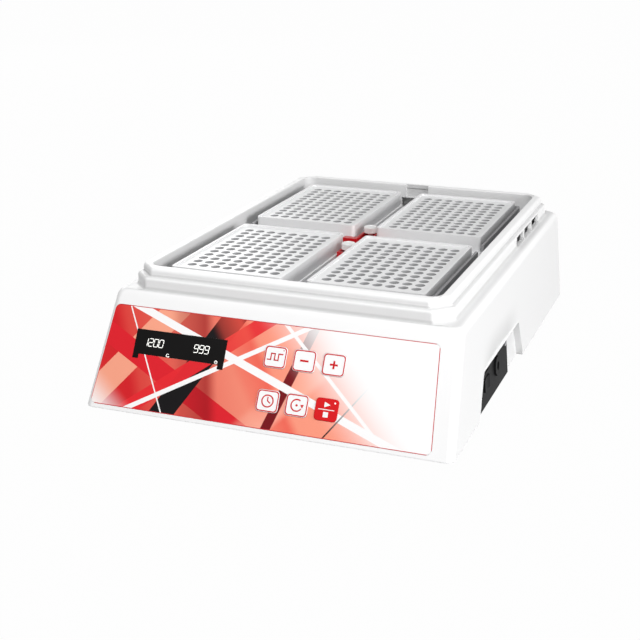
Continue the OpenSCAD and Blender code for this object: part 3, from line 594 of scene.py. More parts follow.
BOARD_GREEN = Board("board_green", (0.02, 0.13, 0.06), 0.35, grain=500.0)
LABEL_PRINT = Artwork(
    "label_print", (0.90, 0.898, 0.898), 0.5, specular=0.2, grain=2500.0, grain_depth=0.000008,
    bands=(
        Band(24, -95, 16, (0.60, 0.006, 0.014), 0.95, 6),
        Band(-38, -104, 9, (0.90, 0.38, 0.25), 0.9),
        Band(63, -8, 7, (0.68, 0.012, 0.022), 1.0),
        Band(12, -46, 13, (0.33, 0.003, 0.008), 0.9, 5),
        Band(-30, -64, 8, (0.004, 0.003, 0.004), 1.0),
        Band(-52, -63, 5, (0.74, 0.018, 0.026), 0.95),
        Band(35, 12, 10, (0.80, 0.08, 0.055), 0.85, 4),
        Band(-42, -8, 9, (0.93, 0.45, 0.34), 0.8, 3),
        Band(-18, 2, 3.2, (0.17, 0.002, 0.006), 1.0),
        Band(70, 34, 2.6, (0.90, 0.89, 0.89), 1.0),
        Band(-60, -52, 1.6, (0.90, 0.89, 0.89), 1.0),
        Band(28, -62, 0.45, (0.90, 0.89, 0.89), 1.0),
        Band(-35, 33, 0.5, (0.01, 0.006, 0.006), 0.95),
        Band(48, 58, 1.2, (0.90, 0.89, 0.89), 0.95),
    ),
)


class Symbol(Enum):
    """Signs on the six keys."""

    PULSE = "pulse"
    MINUS = "minus"
    PLUS = "plus"
    CLOCK = "clock"
    TURN = "turn"
    START_STOP = "start_stop"


def link(name: str, mesh: bpy.types.Mesh, finish: Finish) -> bpy.types.Object:
    """Puts a mesh in the scene with a finish.

    Args:
        name: The piece's name.
        mesh: Its mesh.
        finish: Its finish.

    Returns:
        The new object.
    """
    piece = bpy.data.objects.new(name, mesh)
    bpy.context.scene.collection.objects.link(piece)
    mesh.materials.clear()
    mesh.materials.append(finish.material())
    return piece


def mesh_of(name: str, points: Iterable[Vector], faces: Iterable[Sequence[int]]) -> bpy.types.Mesh:
    """Makes a clean mesh with outward faces.

    Args:
        name: Name of the mesh.
        points: Its vertices, in metres.
        faces: Vertex numbers of each face.

    Returns:
        The mesh.
    """
    mesh = bpy.data.meshes.new(name)
    mesh.from_pydata([tuple(p) for p in points], [], [tuple(f) for f in faces])
    form = bmesh.new()
    form.from_mesh(mesh)
    bmesh.ops.remove_doubles(form, verts=form.verts, dist=1e-6)
    bmesh.ops.recalc_face_normals(form, faces=form.faces)
    form.to_mesh(mesh)
    form.free()
    return mesh


def soften(piece: bpy.types.Object, angle: float = 32.0, weighted: bool = True) -> None:
    """Smooth shading with sharp edges above an angle, and flat faces kept flat.

    Args:
        piece: The piece to shade.
        angle: Degrees above which an edge stays sharp.
        weighted: Whether large faces set the normals.
    """
    piece.data.shade_smooth()
    piece.data.set_sharp_from_angle(angle=math.radians(angle))
    if weighted:
        even = piece.modifiers.new("even", "WEIGHTED_NORMAL")
        even.keep_sharp = True


def settle(piece: bpy.types.Object) -> None:
    """Applies a piece's modifiers to its mesh."""
    graph = bpy.context.evaluated_depsgraph_get()
    mesh = bpy.data.meshes.new_from_object(piece.evaluated_get(graph))
    piece.modifiers.clear()
    piece.data = mesh


def carve(piece: bpy.types.Object, tool: bpy.types.Mesh, operation: str = "DIFFERENCE") -> None:
    """Cuts a mesh out of a piece, or joins it on, and drops the tool.

    Args:
        piece: The piece that is changed.
        tool: Closed mesh in the same frame.
        operation: Name of the boolean operation.
    """
    helper = bpy.data.objects.new("tool", tool)
    bpy.context.scene.collection.objects.link(helper)
    cut = piece.modifiers.new("cut", "BOOLEAN")
    cut.operation, cut.solver, cut.object = operation, "EXACT", helper
    settle(piece)
    bpy.data.objects.remove(helper)


def round_edges(piece: bpy.types.Object, width: float, angle: float = 40.0, steps: int = 2) -> None:
    """Rounds the edges that are sharper than an angle.

    Args:
        piece: The piece that is changed.
        width: Width of the rounding in millimetres.
        angle: Degrees above which an edge is rounded.
        steps: Faces across the rounding.
    """
    ease = piece.modifiers.new("ease", "BEVEL")
    ease.width, ease.segments, ease.limit_method = width * MM, steps, "ANGLE"
    ease.angle_limit = math.radians(angle)
    ease.use_clamp_overlap = True
    settle(piece)


def arc(cx: float, cy: float, r: float, start: float, end: float, steps: int) -> list[Point]:
    """Points along an arc.

    Args:
        cx: X of its centre.
        cy: Y of its centre.
        r: Radius.
        start: First angle in degrees.
        end: Last angle in degrees.
        steps: Number of stretches.

    Returns:
        The points, both ends included.
    """
    turns = [math.radians(start + (end - start) * i / steps) for i in range(steps + 1)]
    return [(cx + r * math.cos(a), cy + r * math.sin(a)) for a in turns]


def quarter(count: int) -> list[float]:
    """Angles from 0 to a right angle, in radians, both ends included."""
    return [math.pi / 2 * i / (count - 1) for i in range(count)]


def rounded(w: float, d: float, r: float, steps: int = 8) -> list[Point]:
    """Rounded rectangle about the origin, anticlockwise."""
    x, y = w / 2 - r, d / 2 - r
    corners = ((x, -y, -90), (x, y, 0), (-x, y, 90), (-x, -y, 180))
    return [p for cx, cy, a in corners for p in arc(cx, cy, r, a, a + 90, steps)]


def fillet(points: Sequence[Point], r: float, steps: int = 6) -> list[Point]:
    """Rounds each corner of a convex outline given anticlockwise.

    Args:
        points: The outline's corners.
        r: Radius of the rounding.
        steps: Stretches round each corner.

    Returns:
        The rounded outline.
    """
    made: list[Point] = []
    count = len(points)
    for i, corner in enumerate(points):
        here = Vector(corner)
        before = (here - Vector(points[i - 1])).normalized()
        after = (Vector(points[(i + 1) % count]) - here).normalized()
        turn = math.acos(max(-1.0, min(1.0, before.dot(after))))
        reach = r * math.tan(turn / 2)
        centre = here - before * reach + Vector((-before.y, before.x)) * r
        first = math.degrees(math.atan2(-before.x, before.y))
        made += arc(centre.x, centre.y, r, first, first + math.degrees(turn), steps)
    return made


def prism(name: str, outline: Sequence[Point], low: float, high: float, at: Matrix) -> bpy.types.Mesh:
    """Straight prism on an outline.

    Args:
        name: Name of the mesh.
        outline: Outline in millimetres, anticlockwise.
        low: Height of its foot in millimetres.
        high: Height of its top in millimetres.
        at: Frame of the outline, in metres.

    Returns:
        The mesh.
    """
    count = len(outline)
    points = [at @ Vector((x * MM, y * MM, z * MM)) for z in (low, high) for x, y in outline]
    sides = [(i, (i + 1) % count, count + (i + 1) % count, count + i) for i in range(count)]
    ends = [tuple(range(count - 1, -1, -1)), tuple(range(count, 2 * count))]
    return mesh_of(name, points, sides + ends)


def box_outline(x0: float, y0: float, x1: float, y1: float) -> list[Point]:
    """Rectangle from its two corners."""
    return [(x0, y0), (x1, y0), (x1, y1), (x0, y1)]


def band_outline(path: Sequence[Point], width: float) -> list[Point]:
    """Outline of a stroke along an open path.

    Args:
        path: Points of its middle line.
        width: Its width.

    Returns:
        The outline, left side first.
    """
    left, right = [], []
    for i, p in enumerate(path):
        before = Vector(path[max(0, i - 1)])
        after = Vector(path[min(len(path) - 1, i + 1)])
        along = (after - before).normalized()
        out = Vector((-along.y, along.x)) * width / 2
        left.append((p[0] + out.x, p[1] + out.y))
        right.append((p[0] - out.x, p[1] - out.y))
    return right + left[::-1]


def joined(name: str, meshes: Iterable[bpy.types.Mesh]) -> bpy.types.Mesh:
    """One mesh from several."""
    form = bmesh.new()
    for mesh in meshes:
        form.from_mesh(mesh)
        bpy.data.meshes.remove(mesh)
    mesh = bpy.data.meshes.new(name)
    form.to_mesh(mesh)
    form.free()
    return mesh


def strips(rows: int, count: int, wrap: bool = False) -> list[tuple[int, ...]]:
    """Faces between closed outlines that have the same number of points.

    Args:
        rows: Number of outlines.
        count: Points on each.
        wrap: Whether the last outline joins the first.

    Returns:
        Vertex numbers of each face, from the first outline on.
    """
    faces = []
    for k in range(rows if wrap else rows - 1):
        a, b = k * count, (k + 1) % rows * count
        faces += [(a + i, a + (i + 1) % count, b + (i + 1) % count, b + i) for i in range(count)]
    return faces


def ring(name: str, outer: Sequence[Point], inner: Sequence[Point], low: float, high: float,
         at: Matrix) -> bpy.types.Mesh:
    """Flat ring between two outlines with the same number of points."""
    loops = [(outer, low), (outer, high), (inner, high), (inner, low)]
    points = [at @ Vector((x * MM, y * MM, z * MM)) for loop, z in loops for x, y in loop]
    return mesh_of(name, points, strips(len(loops), len(outer), wrap=True))


def dress(finish: Finish, *names: str) -> None:
    """Gives nodes of the frame a finish."""
    for name in names:
        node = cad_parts[name]
        node.data.materials.clear()
        node.data.materials.append(finish.material())
        soften(node, 30.0, weighted=False)
    LOG.info("%s on %s", finish.name, ", ".join(names))


@dataclass
class HousingShell:
    """Moulded shell: one skin lofted over the shoulder and the rim and down into the well."""

    size: Sizes = SIZE
    steps: int = 8
    shoulder: float = 5.0
    shoulder_in: tuple[float, float, float] = (5.4, 0.7, 3.6)
    rear_extra: float = 4.5
    foot_edge: float = 0.9
    ring_fillet: Point = (2.2, 2.6)
    ring_front: float = 1.0
    step_ease: Point = (1.9, 2.3)
    cove: Point = (1.0, 1.2)
    rim_ease: Point = (2.4, 3.0)
    rim_corner: float = 3.0
    well_ease: float = 0.8
    lip: float = 0.4
    roof: float = 2.4
    step_roof: float = 1.6
    inner_r: float = 2.4
    inner_drop: float = 0.4
    edge: float = 0.45
    corner: float = 4.0
    label_gap: float = 0.15
    front_cut: tuple[float, float] = (-12.0, 5.0)
    side_cut: tuple[float, float] = (-14.0, 8.0)

    def plan(self, z: float, aside: float, front: float, back: float, r: float) -> list[Vector]:
        """Outline of the drafted housing at a height.

        Args:
            z: The height.
            aside: Distance that the sides are moved in.
            front: Distance that the front is moved in.
            back: Distance that the back is moved in.
            r: Radius of the front corners. The outer back corners are larger.

        Returns:
            The outline, anticlockwise.
        """
        s = self.size
        y0, y1 = s.face_y(z) + front, s.back_y(z) - back
        x, y = s.half_w(z) - aside, (y1 - y0) / 2
        rear = r + self.rear_extra if r > s.wall else r
        flat: list[Point] = []
        corners = ((x, -y, r, -90), (x, y, rear, 0), (-x, y, rear, 90), (-x, -y, r, 180))
        for cx, cy, q, turn in corners:
            middle = (cx - math.copysign(q, cx), cy - math.copysign(q, cy))
            flat += arc(*middle, q, turn, turn + 90, 2 * self.steps - 1)
        return [Vector((px, py + (y0 + y1) / 2, z)) for px, py in flat]

    def rim(self, w: float, d: float, z: float, grow: float) -> list[Vector]:
        """Outline of the rim with its corners cut and softened, moved out by grow."""
        cut = self.size.rim_cut + grow * (2 - math.sqrt(2))
        x, y = w / 2 + grow, d / 2 + grow
        corners = [(x - cut, -y), (x, -y + cut), (x, y - cut), (x - cut, y),
                   (-x + cut, y), (-x, y - cut), (-x, -y + cut), (-x + cut, -y)]
        flat = fillet(corners, self.rim_corner, self.steps - 1)
        return [Vector((px, py + self.size.well_y, z)) for px, py in flat]

    def eased(self, w: float, d: float, top: float, ease: Point, count: int) -> list[list[Vector]]:
        """Outlines over the rounded top edge of a ring.

        Args:
            w: Width of the ring.
            d: Its depth.
            top: Height of its top.
            ease: Width and height of the rounding.
            count: Number of outlines.

        Returns:
            The outlines, from the wall to the top.
        """
        return [self.rim(w, d, top - ease[1] * (1 - math.sin(a)), -ease[0] * (1 - math.cos(a)))
                for a in quarter(count)]

    def coved(self, w: float, d: float, foot: float, cove: Point, count: int) -> list[list[Vector]]:
        """Outlines up the hollow at the foot of a ring.

        Args:
            w: Width of the ring.
            d: Its depth.
            foot: Height of its foot.
            cove: Width and height of the hollow.
            count: Number of outlines.

        Returns:
            The outlines, from the foot to the wall.
        """
        return [self.rim(w, d, foot + cove[1] * (1 - math.cos(a)), cove[0] * (1 - math.sin(a)))
                for a in quarter(count)]

    def well(self, z: float, grow: float) -> list[Vector]:
        """Outline of the well, moved out by grow."""
        s = self.size
        w, d = s.well_w + 2 * grow, s.well_d + 2 * grow
        flat = rounded(w, d, s.well_r + grow, 2 * self.steps - 1)
        return [Vector((x, y + s.well_y, z)) for x, y in flat]

    def outer_loops(self) -> list[list[Vector]]:
        """Outlines from the foot up the outside to the rim's top."""
        s = self.size
        r = s.corner_r
        made = [self.plan(s.foot_h + up, inward, inward, inward, r)
                for up, inward in ((0, self.foot_edge), (0.3, self.foot_edge / 3), (1.0, 0))]
        low = s.shoulder_z - self.shoulder
        for a in quarter(9):
            drop = 1 - math.cos(a)
            inward = [drop * most for most in self.shoulder_in]
            made.append(self.plan(low + self.shoulder * math.sin(a), *inward, r + 2 * drop))
        front = s.well_y - s.step_d / 2
        foot = self.coved(s.step_w, s.step_d, s.shoulder_z, self.ring_fillet, 5)
        for a, loop in zip(quarter(5), foot):
            room = self.ring_front * (1 - math.sin(a))
            made.append([Vector((p.x, max(p.y, front - room), p.z)) for p in loop])
        made += self.eased(s.step_w, s.step_d, s.step_z, self.step_ease, 6)
        made += self.coved(s.rim_w, s.rim_d, s.step_z, self.cove, 4)
        return made + self.eased(s.rim_w, s.rim_d, s.rim_z, self.rim_ease, 7)

    def inner_loops(self) -> list[list[Vector]]:
        """Outlines from the rim's top down the well, up its skirt and down the inside."""
        s = self.size
        t, roof, step_roof = s.skirt_t, s.rim_z - self.roof, s.step_z - self.step_roof
        ease = self.well_ease
        made = [self.well(s.rim_z - ease * (1 - math.cos(a)), ease * (1 - math.sin(a)))
                for a in quarter(5)]
        for z, grow in ((self.lip, 0), (0, self.lip), (0, t - self.lip), (self.lip, t)):
            made.append(self.well(s.skirt_z + z, grow))
        made += [self.well(roof, t), self.rim(s.rim_w, s.rim_d, roof, -t),
                 self.rim(s.rim_w, s.rim_d, step_roof, -t),
                 self.rim(s.step_w, s.step_d, step_roof, -t),
                 self.rim(s.step_w, s.step_d, s.shoulder_z - s.wall, -t)]
        side = s.wall / math.cos(math.radians(s.side_draft))
        front = s.wall / math.cos(math.radians(s.front_lean))
        for z in (s.shoulder_z - s.wall - self.inner_drop, s.foot_h):
            made.append(self.plan(z, side, front, s.wall, self.inner_r))
        return made

    def skin(self) -> bpy.types.Mesh:
        """The closed lofted skin."""
        loops = self.outer_loops() + self.inner_loops()
        points = [p * MM for loop in loops for p in loop]
        return mesh_of("shell_skin", points, strips(len(loops), len(loops[0]), wrap=True))

    def arch(self) -> list[Point]:
        """Outline of the side recess as y and height up the side, anticlockwise."""
        s = self.size
        foot = [(y, -8) for y in s.arch_foot]
        top = [(y, s.arch_t) for y in reversed(s.arch_top)]
        return fillet(foot + top, self.corner, 8)

    def label_plan(self, grow: float) -> list[Point]:
        """Outline of the label recess on the front, moved out by grow."""
        s = self.size
        low, high = s.label_s - grow, s.label_s + s.label_h + grow
        corners = [(s.label_x0 - grow, low), (s.label_x1 + grow, low),
                   (s.label_x1 - s.label_in_right + grow, high),
                   (s.label_x0 + s.label_in_left - grow, high)]
        return fillet(corners, self.corner, 8)

    def scoop_depth(self, u: float, v: float) -> float:
        """Depth of the hand hold at a place.

        Args:
            u: Distance along the side from its middle, as a share of half its length.
            v: Height over the recess's top edge.

        Returns:
            Depth in millimetres: deepest just over the edge, with a thin lip along the edge.
        """
        s = self.size
        across = max(0.0, 1 - abs(u) ** 2.4) ** 1.5
        up = max(0.0, 1 - v / s.scoop_h) ** 1.6
        lip = max(0.0, min(1.0, (v - 0.2) / 0.7))
        return s.scoop_d * across * up * lip * lip * (3 - 2 * lip)

    def scoop(self) -> bpy.types.Mesh:
        """Soft hand hold over the recess."""
        s = self.size
        rows, columns = 30, 56
        points, faces = [], []
        at = s.side(s.scoop_y, s.arch_t)
        for j in range(rows + 1):
            v = s.scoop_h * (j / rows) ** 1.7
            for i in range(columns + 1):
                u = 2 * i / columns - 1
                out = 0.02 - self.scoop_depth(u, v)
                points.append(at @ Vector((u * s.scoop_l * MM, v * MM, out * MM)))
        row = columns + 1
        for j in range(rows):
            faces += [(j * row + i, j * row + i + 1, (j + 1) * row + i + 1, (j + 1) * row + i)
                      for i in range(columns)]
        base = len(points)
        outside = 12
        for u, v in box_outline(-s.scoop_l, 0, s.scoop_l, s.scoop_h):
            points.append(at @ Vector((u * MM, v * MM, outside * MM)))
        low = range(row)
        right = range(columns, base, row)
        high = range(base - 1, base - 1 - row, -1)
        left = range(rows * row, -1, -row)
        for k, border in enumerate((low, right, high, left)):
            faces.append(tuple(border) + (base + (k + 1) % 4, base + k))
        faces.append((base, base + 1, base + 2, base + 3))
        return mesh_of("scoop", points, faces)

    def cutters(self) -> list[bpy.types.Mesh]:
        """Everything that is cut out of the skin."""
        s = self.size
        level = Matrix.Identity(4)
        deep, out = self.front_cut
        w, h = s.window_w / 2, s.window_h / 2
        made = [prism("label", self.label_plan(self.label_gap), -s.label_t, out, s.front()),
                prism("window", box_outline(-w, -h, w, h), deep, out,
                      s.front(s.display_x, s.display_s))]
        around = 2 * s.key_gap
        key = rounded(s.key_w + around, s.key_h + around, s.key_r, 5)
        stem = rounded(s.stem_w + around, s.stem_w + around, 1, 3)
        for number in range(1, 7):
            made.append(prism("key", key, -s.label_t - 1.4, out, s.key_at(number)))
            made.append(prism("stem", stem, deep, out, s.key_at(number)))
        for i in range(3):
            y = s.vent_y + i * s.vent_pitch
            hole = box_outline(s.step_w / 2 - s.vent_d, y, s.step_w / 2 + out, y + s.vent_l)
            made.append(prism("vent", hole, s.vent_z, s.vent_z + s.vent_h, level))
        for name, w, depth, low, high in (("catch", s.catch_w, s.catch_d, -10.5, -2.8),
                                          ("notch", s.catch_w, s.notch_d, -3.0, 1.0),
                                          ("slot", s.slot_w, s.slot_d, -20.5, -11.5)):
            hole = box_outline(-w / 2, s.well_back - 1, w / 2, s.well_back + depth)
            made.append(prism(name, hole, s.rim_z + low, s.rim_z + high, level))
        return made

    def recess(self) -> list[bpy.types.Mesh]:
        """Cutters of the side recess: through at the black panel, blind behind it."""
        s = self.size
        through = self.clip(self.arch(), None, s.panel_y1 + 0.2)
        behind = self.clip(self.arch(), s.panel_y1 - 1, None)
        deep, out = self.side_cut
        return [prism("through", through, deep, out, s.side()),
                prism("behind", behind, -s.arch_d, out, s.side())]

    @staticmethod
    def clip(outline: list[Point], low: Optional[float], high: Optional[float]) -> list[Point]:
        """The part of a convex outline between two values of its first coordinate."""
        for limit, sign in ((low, 1), (high, -1)):
            if limit is None:
                continue
            kept: list[Point] = []
            for i, q in enumerate(outline):
                p = outline[i - 1]
                a, b = (p[0] - limit) * sign, (q[0] - limit) * sign
                if (a < 0) != (b < 0):
                    f = a / (a - b)
                    kept.append((p[0] + f * (q[0] - p[0]), p[1] + f * (q[1] - p[1])))
                if b >= 0:
                    kept.append(q)
            outline = kept
        return outline

    def backing(self) -> list[bpy.types.Mesh]:
        """Thicker wall behind the hand hold and behind the blind end of the side recess."""
        s = self.size
        pad = box_outline(-108, s.panel_t + 0.2, 16, s.arch_t + 30)
        liner = box_outline(s.panel_y1 + 0.2, 0.5, s.panel_y1 + 46, s.arch_t + 3)
        return [prism("pad", pad, -s.wall - s.pad_t, -s.wall + 0.4, s.side()),
                prism("liner", liner, -s.arch_d - 2.4, -0.5, s.side())]

    def build(self) -> bpy.types.Object:
        """Makes the shell, which stands for its solid node."""
        piece = link("shell_moulding", self.skin(), WHITE_SHELL)
        for tool in self.backing():
            carve(piece, tool, "UNION")
        for tool in (*self.recess(), self.scoop(), *self.cutters()):
            carve(piece, tool)
        round_edges(piece, self.edge)
        piece.data.materials.clear()
        piece.data.materials.append(WHITE_SHELL.material())
        soften(piece)
        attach(piece, "housing")
        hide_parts("shell")
        LOG.info("shell: %d faces", len(piece.data.polygons))
        return piece


@dataclass
class Key:
    """One key: a cap with eased edges on its stem, a printed outline and a sign."""

    number: int
    sign: Symbol
    size: Sizes = SIZE
    print_t: float = 0.04
    top: float = 0.4
    grow: float = 0.3
    outline: Point = (0.35, 1.85)
    sign_bar: float = 1.3
    lamp_in: float = 2.3
    stem_z: float = -8.6
    pin_z: float = -12.2
    pin_d: float = 3.4

    @property
    def red(self) -> bool:
        """Whether this is the red key."""
        return self.sign is Symbol.START_STOP

    @property
    def at(self) -> Matrix:
        """Frame of the key on the front."""
        return self.size.key_at(self.number)

    def cap(self) -> bpy.types.Mesh:
        """Cap with a rounded top edge, and its stem."""
        s = self.size
        low = -s.label_t - 0.6
        profile = [(low, 0.0), (self.top - 0.3, 0.0), (self.top - 0.12, 0.06),
                   (self.top - 0.03, 0.16), (self.top, 0.3)]
        w, h = s.key_w + self.grow, s.key_h + self.grow
        loops = [rounded(w - 2 * i, h - 2 * i, s.key_r - i / 2, 6) for _, i in profile]
        count = len(loops[0])
        points = [self.at @ Vector((x * MM, y * MM, z * MM))
                  for (z, _), loop in zip(profile, loops) for x, y in loop]
        faces = strips(len(loops), count)
        faces.append(tuple(range(count - 1, -1, -1)))
        faces.append(tuple(range(len(points) - count, len(points))))
        cap = mesh_of("cap", points, faces)
        stem = prism("stem", rounded(s.stem_w, s.stem_w, 0.8, 3), self.stem_z, low + 0.2, self.at)
        pin_r = self.pin_d / 2 - 0.001
        pin = prism("pin", rounded(self.pin_d, self.pin_d, pin_r, 8), self.pin_z, self.stem_z + 0.2,
                    self.at)
        return joined("key_cap", (cap, stem, pin))

    def stroke(self, path: Sequence[Point], width: float) -> bpy.types.Mesh:
        """A printed stroke along a path on the cap."""
        return prism("stroke", band_outline(path, width), self.top, self.top + self.print_t, self.at)

    def patch(self, outline: Sequence[Point]) -> bpy.types.Mesh:
        """A printed patch on the cap."""
        return prism("patch", outline, self.top, self.top + self.print_t, self.at)

    def signs(self) -> list[bpy.types.Mesh]:
        """The printed sign."""
        if self.sign is Symbol.PULSE:
            wave = [(-5.2, -2), (-3, -2), (-3, 2.2), (-0.4, 2.2),
                    (-0.4, -2), (2.2, -2), (2.2, 2.2), (4.9, 2.2)]
            bar = 0.4
            return [self.patch(box_outline(min(a[0], b[0]) - bar, min(a[1], b[1]) - bar,
                                           max(a[0], b[0]) + bar, max(a[1], b[1]) + bar))
                    for a, b in zip(wave[:-1], wave[1:])]
        b = self.sign_bar / 2
        if self.sign is Symbol.MINUS:
            return [self.patch(box_outline(-2.9, -b, 2.9, b))]
        if self.sign is Symbol.PLUS:
            return [self.patch(box_outline(-2.7, -b, 2.7, b)), self.patch(box_outline(-b, b, b, 2.7)),
                    self.patch(box_outline(-b, -2.7, b, -b))]
        if self.sign is Symbol.CLOCK:
            face = ring("face", arc(0, 0, 4.3, 0, 350, 35), arc(0, 0, 3.45, 0, 350, 35),
                        self.top, self.top + self.print_t, self.at)
            hands = ([(0, -0.2), (0, 2.7)], [(0.2, 0), (2.1, -1.3)])
            return [face, *(self.stroke(hand, 0.75) for hand in hands)]
        if self.sign is Symbol.TURN:
            head = [(4.9, 0.9), (2.5, 0.7), (3.9, -1.7)]
            turn = arc(0, 0, 3.8, 330, 55.5, 27)
            return [self.stroke(turn, 0.9), self.patch(head[::-1]),
                    self.patch(arc(0, 0, 0.8, 0, 350, 12))]
        play = [(-1.7, 1.4), (2.4, 3.2), (-1.7, 5.0)]
        return [self.patch(play), self.patch(box_outline(-5.4, -0.25, 5.4, 0.25)),
                self.patch(box_outline(-1.7, -4.9, 1.7, -1.5))]

    def build(self) -> None:
        """Makes the key, which stands for its solid node."""
        s = self.size
        body = "key_%d" % self.number
        cap = link(body + "_cap", self.cap(), RED_KEY if self.red else WHITE_KEY)
        soften(cap)
        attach(cap, body)
        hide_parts(body)
        ink = WHITE_PRINT if self.red else RED_PRINT
        marks = self.signs()
        if not self.red:
            outer, inner = (rounded(s.key_w - cut, s.key_h - cut, r, 6)
                            for cut, r in zip(self.outline, (2.4, 1.8)))
            marks.append(ring("outline", outer, inner, self.top, self.top + self.print_t, self.at))
        sign = link(body + "_sign", joined("key_sign", marks), ink)
        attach(sign, body)
        if self.number in (1, 6):
            dot = arc(s.key_w / 2 - self.lamp_in, s.key_h / 2 - self.lamp_in,
                      0.55 if self.red else 0.4, 0, 345, 16)
            lamp = link(body + "_lamp", self.patch(dot), LAMP if self.red else RED_PRINT)
            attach(lamp, body)
        LOG.info("key %d: %s", self.number, self.sign.value)


@dataclass
class Knob:
    """Knurled clamping knob: a round head with a dished top on its screw."""

    body: str
    teeth: int = 30
    radius: float = 5.35
    knurl: float = 0.35
    head: float = 5.0
    screw_r: float = 1.9

    def outline(self, r: float, depth: float) -> list[Point]:
        """Outline of the knurled edge, with teeth of that depth."""
        turns = [2 * math.pi * i / (4 * self.teeth) for i in range(4 * self.teeth)]
        reach = [r - depth * (0, 0.5, 1, 0.5)[i % 4] for i in range(4 * self.teeth)]
        return [(q * math.cos(a), q * math.sin(a)) for q, a in zip(reach, turns)]

    def build(self) -> None:
        """Makes the knob, which stands for its solid node."""
        low, high = (Vector(corner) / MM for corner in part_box(self.body))
        top, r = high.z, self.radius
        foot = top - self.head
        knurl = self.knurl
        levels = [(foot, self.screw_r + 0.6, 0), (foot, r - 0.7, 0), (foot + 0.4, r - 0.1, 0),
                  (foot + 0.5, r, knurl), (top - 0.9, r, knurl), (top - 0.8, r - 0.1, 0),
                  (top - 0.2, r - 0.35, 0), (top, r - 0.7, 0), (top, r - 1.5, 0),
                  (top - 0.35, r - 1.8, 0)]
        loops = [[Vector((x, y, z)) for x, y in self.outline(r, depth)] for z, r, depth in levels]
        count = len(loops[0])
        middle = Vector(((low.x + high.x) / 2, (low.y + high.y) / 2, 0))
        points = [(p + middle) * MM for loop in loops for p in loop]
        faces = [tuple(range(count - 1, -1, -1)), tuple(range(len(points) - count, len(points)))]
        faces += strips(len(loops), count)
        screw = prism("screw", arc(middle.x, middle.y, self.screw_r, 0, 345, 23), low.z, foot + 0.2,
                      Matrix.Identity(4))
        piece = link(self.body + "_knurled", joined("knob", (mesh_of("head", points, faces), screw)),
                     KNOB_METAL)
        soften(piece, 28.0, weighted=False)
        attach(piece, self.body)
        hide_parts(self.body)
        LOG.info("%s: %d teeth", self.body, self.teeth)


@dataclass
class Readout:
    """Lit figures of the display: seven-segment numbers and two small signs."""

    size: Sizes = SIZE
    digit_w: float = 3.0
    digit_h: float = 5.2
    pitch: float = 3.9
    bar: float = 0.46
    slant: float = 0.1
    lift: float = 0.1
    print_t: float = 0.03
    figures_y: float = 46.8
    signs_y: float = 42.2

    SEGMENTS = {"0": "abcdef", "1": "bc", "2": "abged", "9": "abcdfg"}

    def segment(self, letter: str) -> list[Point]:
        """Outline of one bar of a digit whose lower left corner is the origin."""
        w, h, t = self.digit_w, self.digit_h, self.bar
        ends = {"a": ((0, h), (w, h)), "b": ((w, h), (w, h / 2)), "c": ((w, h / 2), (w, 0)),
                "d": ((0, 0), (w, 0)), "e": ((0, 0), (0, h / 2)), "f": ((0, h / 2), (0, h)),
                "g": ((0, h / 2), (w, h / 2))}
        a, b = (Vector(p) for p in ends[letter])
        along = (b - a).normalized()
        out = Vector((-along.y, along.x)) * t / 2
        gap = along * (t / 2 + 0.08)
        tip = along * 0.12
        outline = [a + tip, a + gap - out, b - gap - out, b - tip, b - gap + out, a + gap + out]
        return [(p.x + self.slant * p.y, p.y) for p in outline]

    def number(self, text: str, x: float) -> list[bpy.types.Mesh]:
        """Bars of a number that starts at a place on the window."""
        made = []
        for i, figure in enumerate(text):
            at = self.size.front(x + i * self.pitch, self.figures_y, self.lift)
            made += [prism("bar", self.segment(c), 0, self.print_t, at) for c in self.SEGMENTS[figure]]
        return made

    def build(self) -> None:
        """Makes the lit pieces."""
        s, t = self.size, self.print_t
        bars = self.number("1200", -94.6) + self.number("999", -56.8)
        at = s.front(-74.9, self.signs_y, self.lift)
        bars.append(prism("turn", band_outline(arc(0, 0, 1.0, 40, 320, 14), 0.35), 0, t, at))
        bars.append(prism("head", [(1.45, -0.45), (0.3, -0.5), (0.95, -1.3)][::-1], 0, t, at))
        at = s.front(-39.2, self.signs_y, self.lift)
        bars.append(ring("dial", arc(0, 0, 1.15, 0, 345, 20), arc(0, 0, 0.85, 0, 345, 20), 0, t, at))
        for hand in ((-0.12, -0.1, 0.12, 0.8), (0.12, -0.1, 0.6, 0.14)):
            bars.append(prism("hand", box_outline(*hand), 0, t, at))
        lit = link("readout", joined("readout", bars), SEGMENT)
        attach(lit, "housing")
        LOG.info("readout: %d bars", len(bars))


@dataclass
class FrontPanel:
    """Printed label, display and keys."""

    signs: tuple[Symbol, ...] = tuple(Symbol)

    def build(self) -> None:
        """Dresses the label and the window and makes the keys and figures."""
        dress(LABEL_PRINT, "label")
        dress(DISPLAY_BLACK, "display_window")
        Readout().build()
        for number, sign in enumerate(self.signs, start=1):
            Key(number, sign).build()


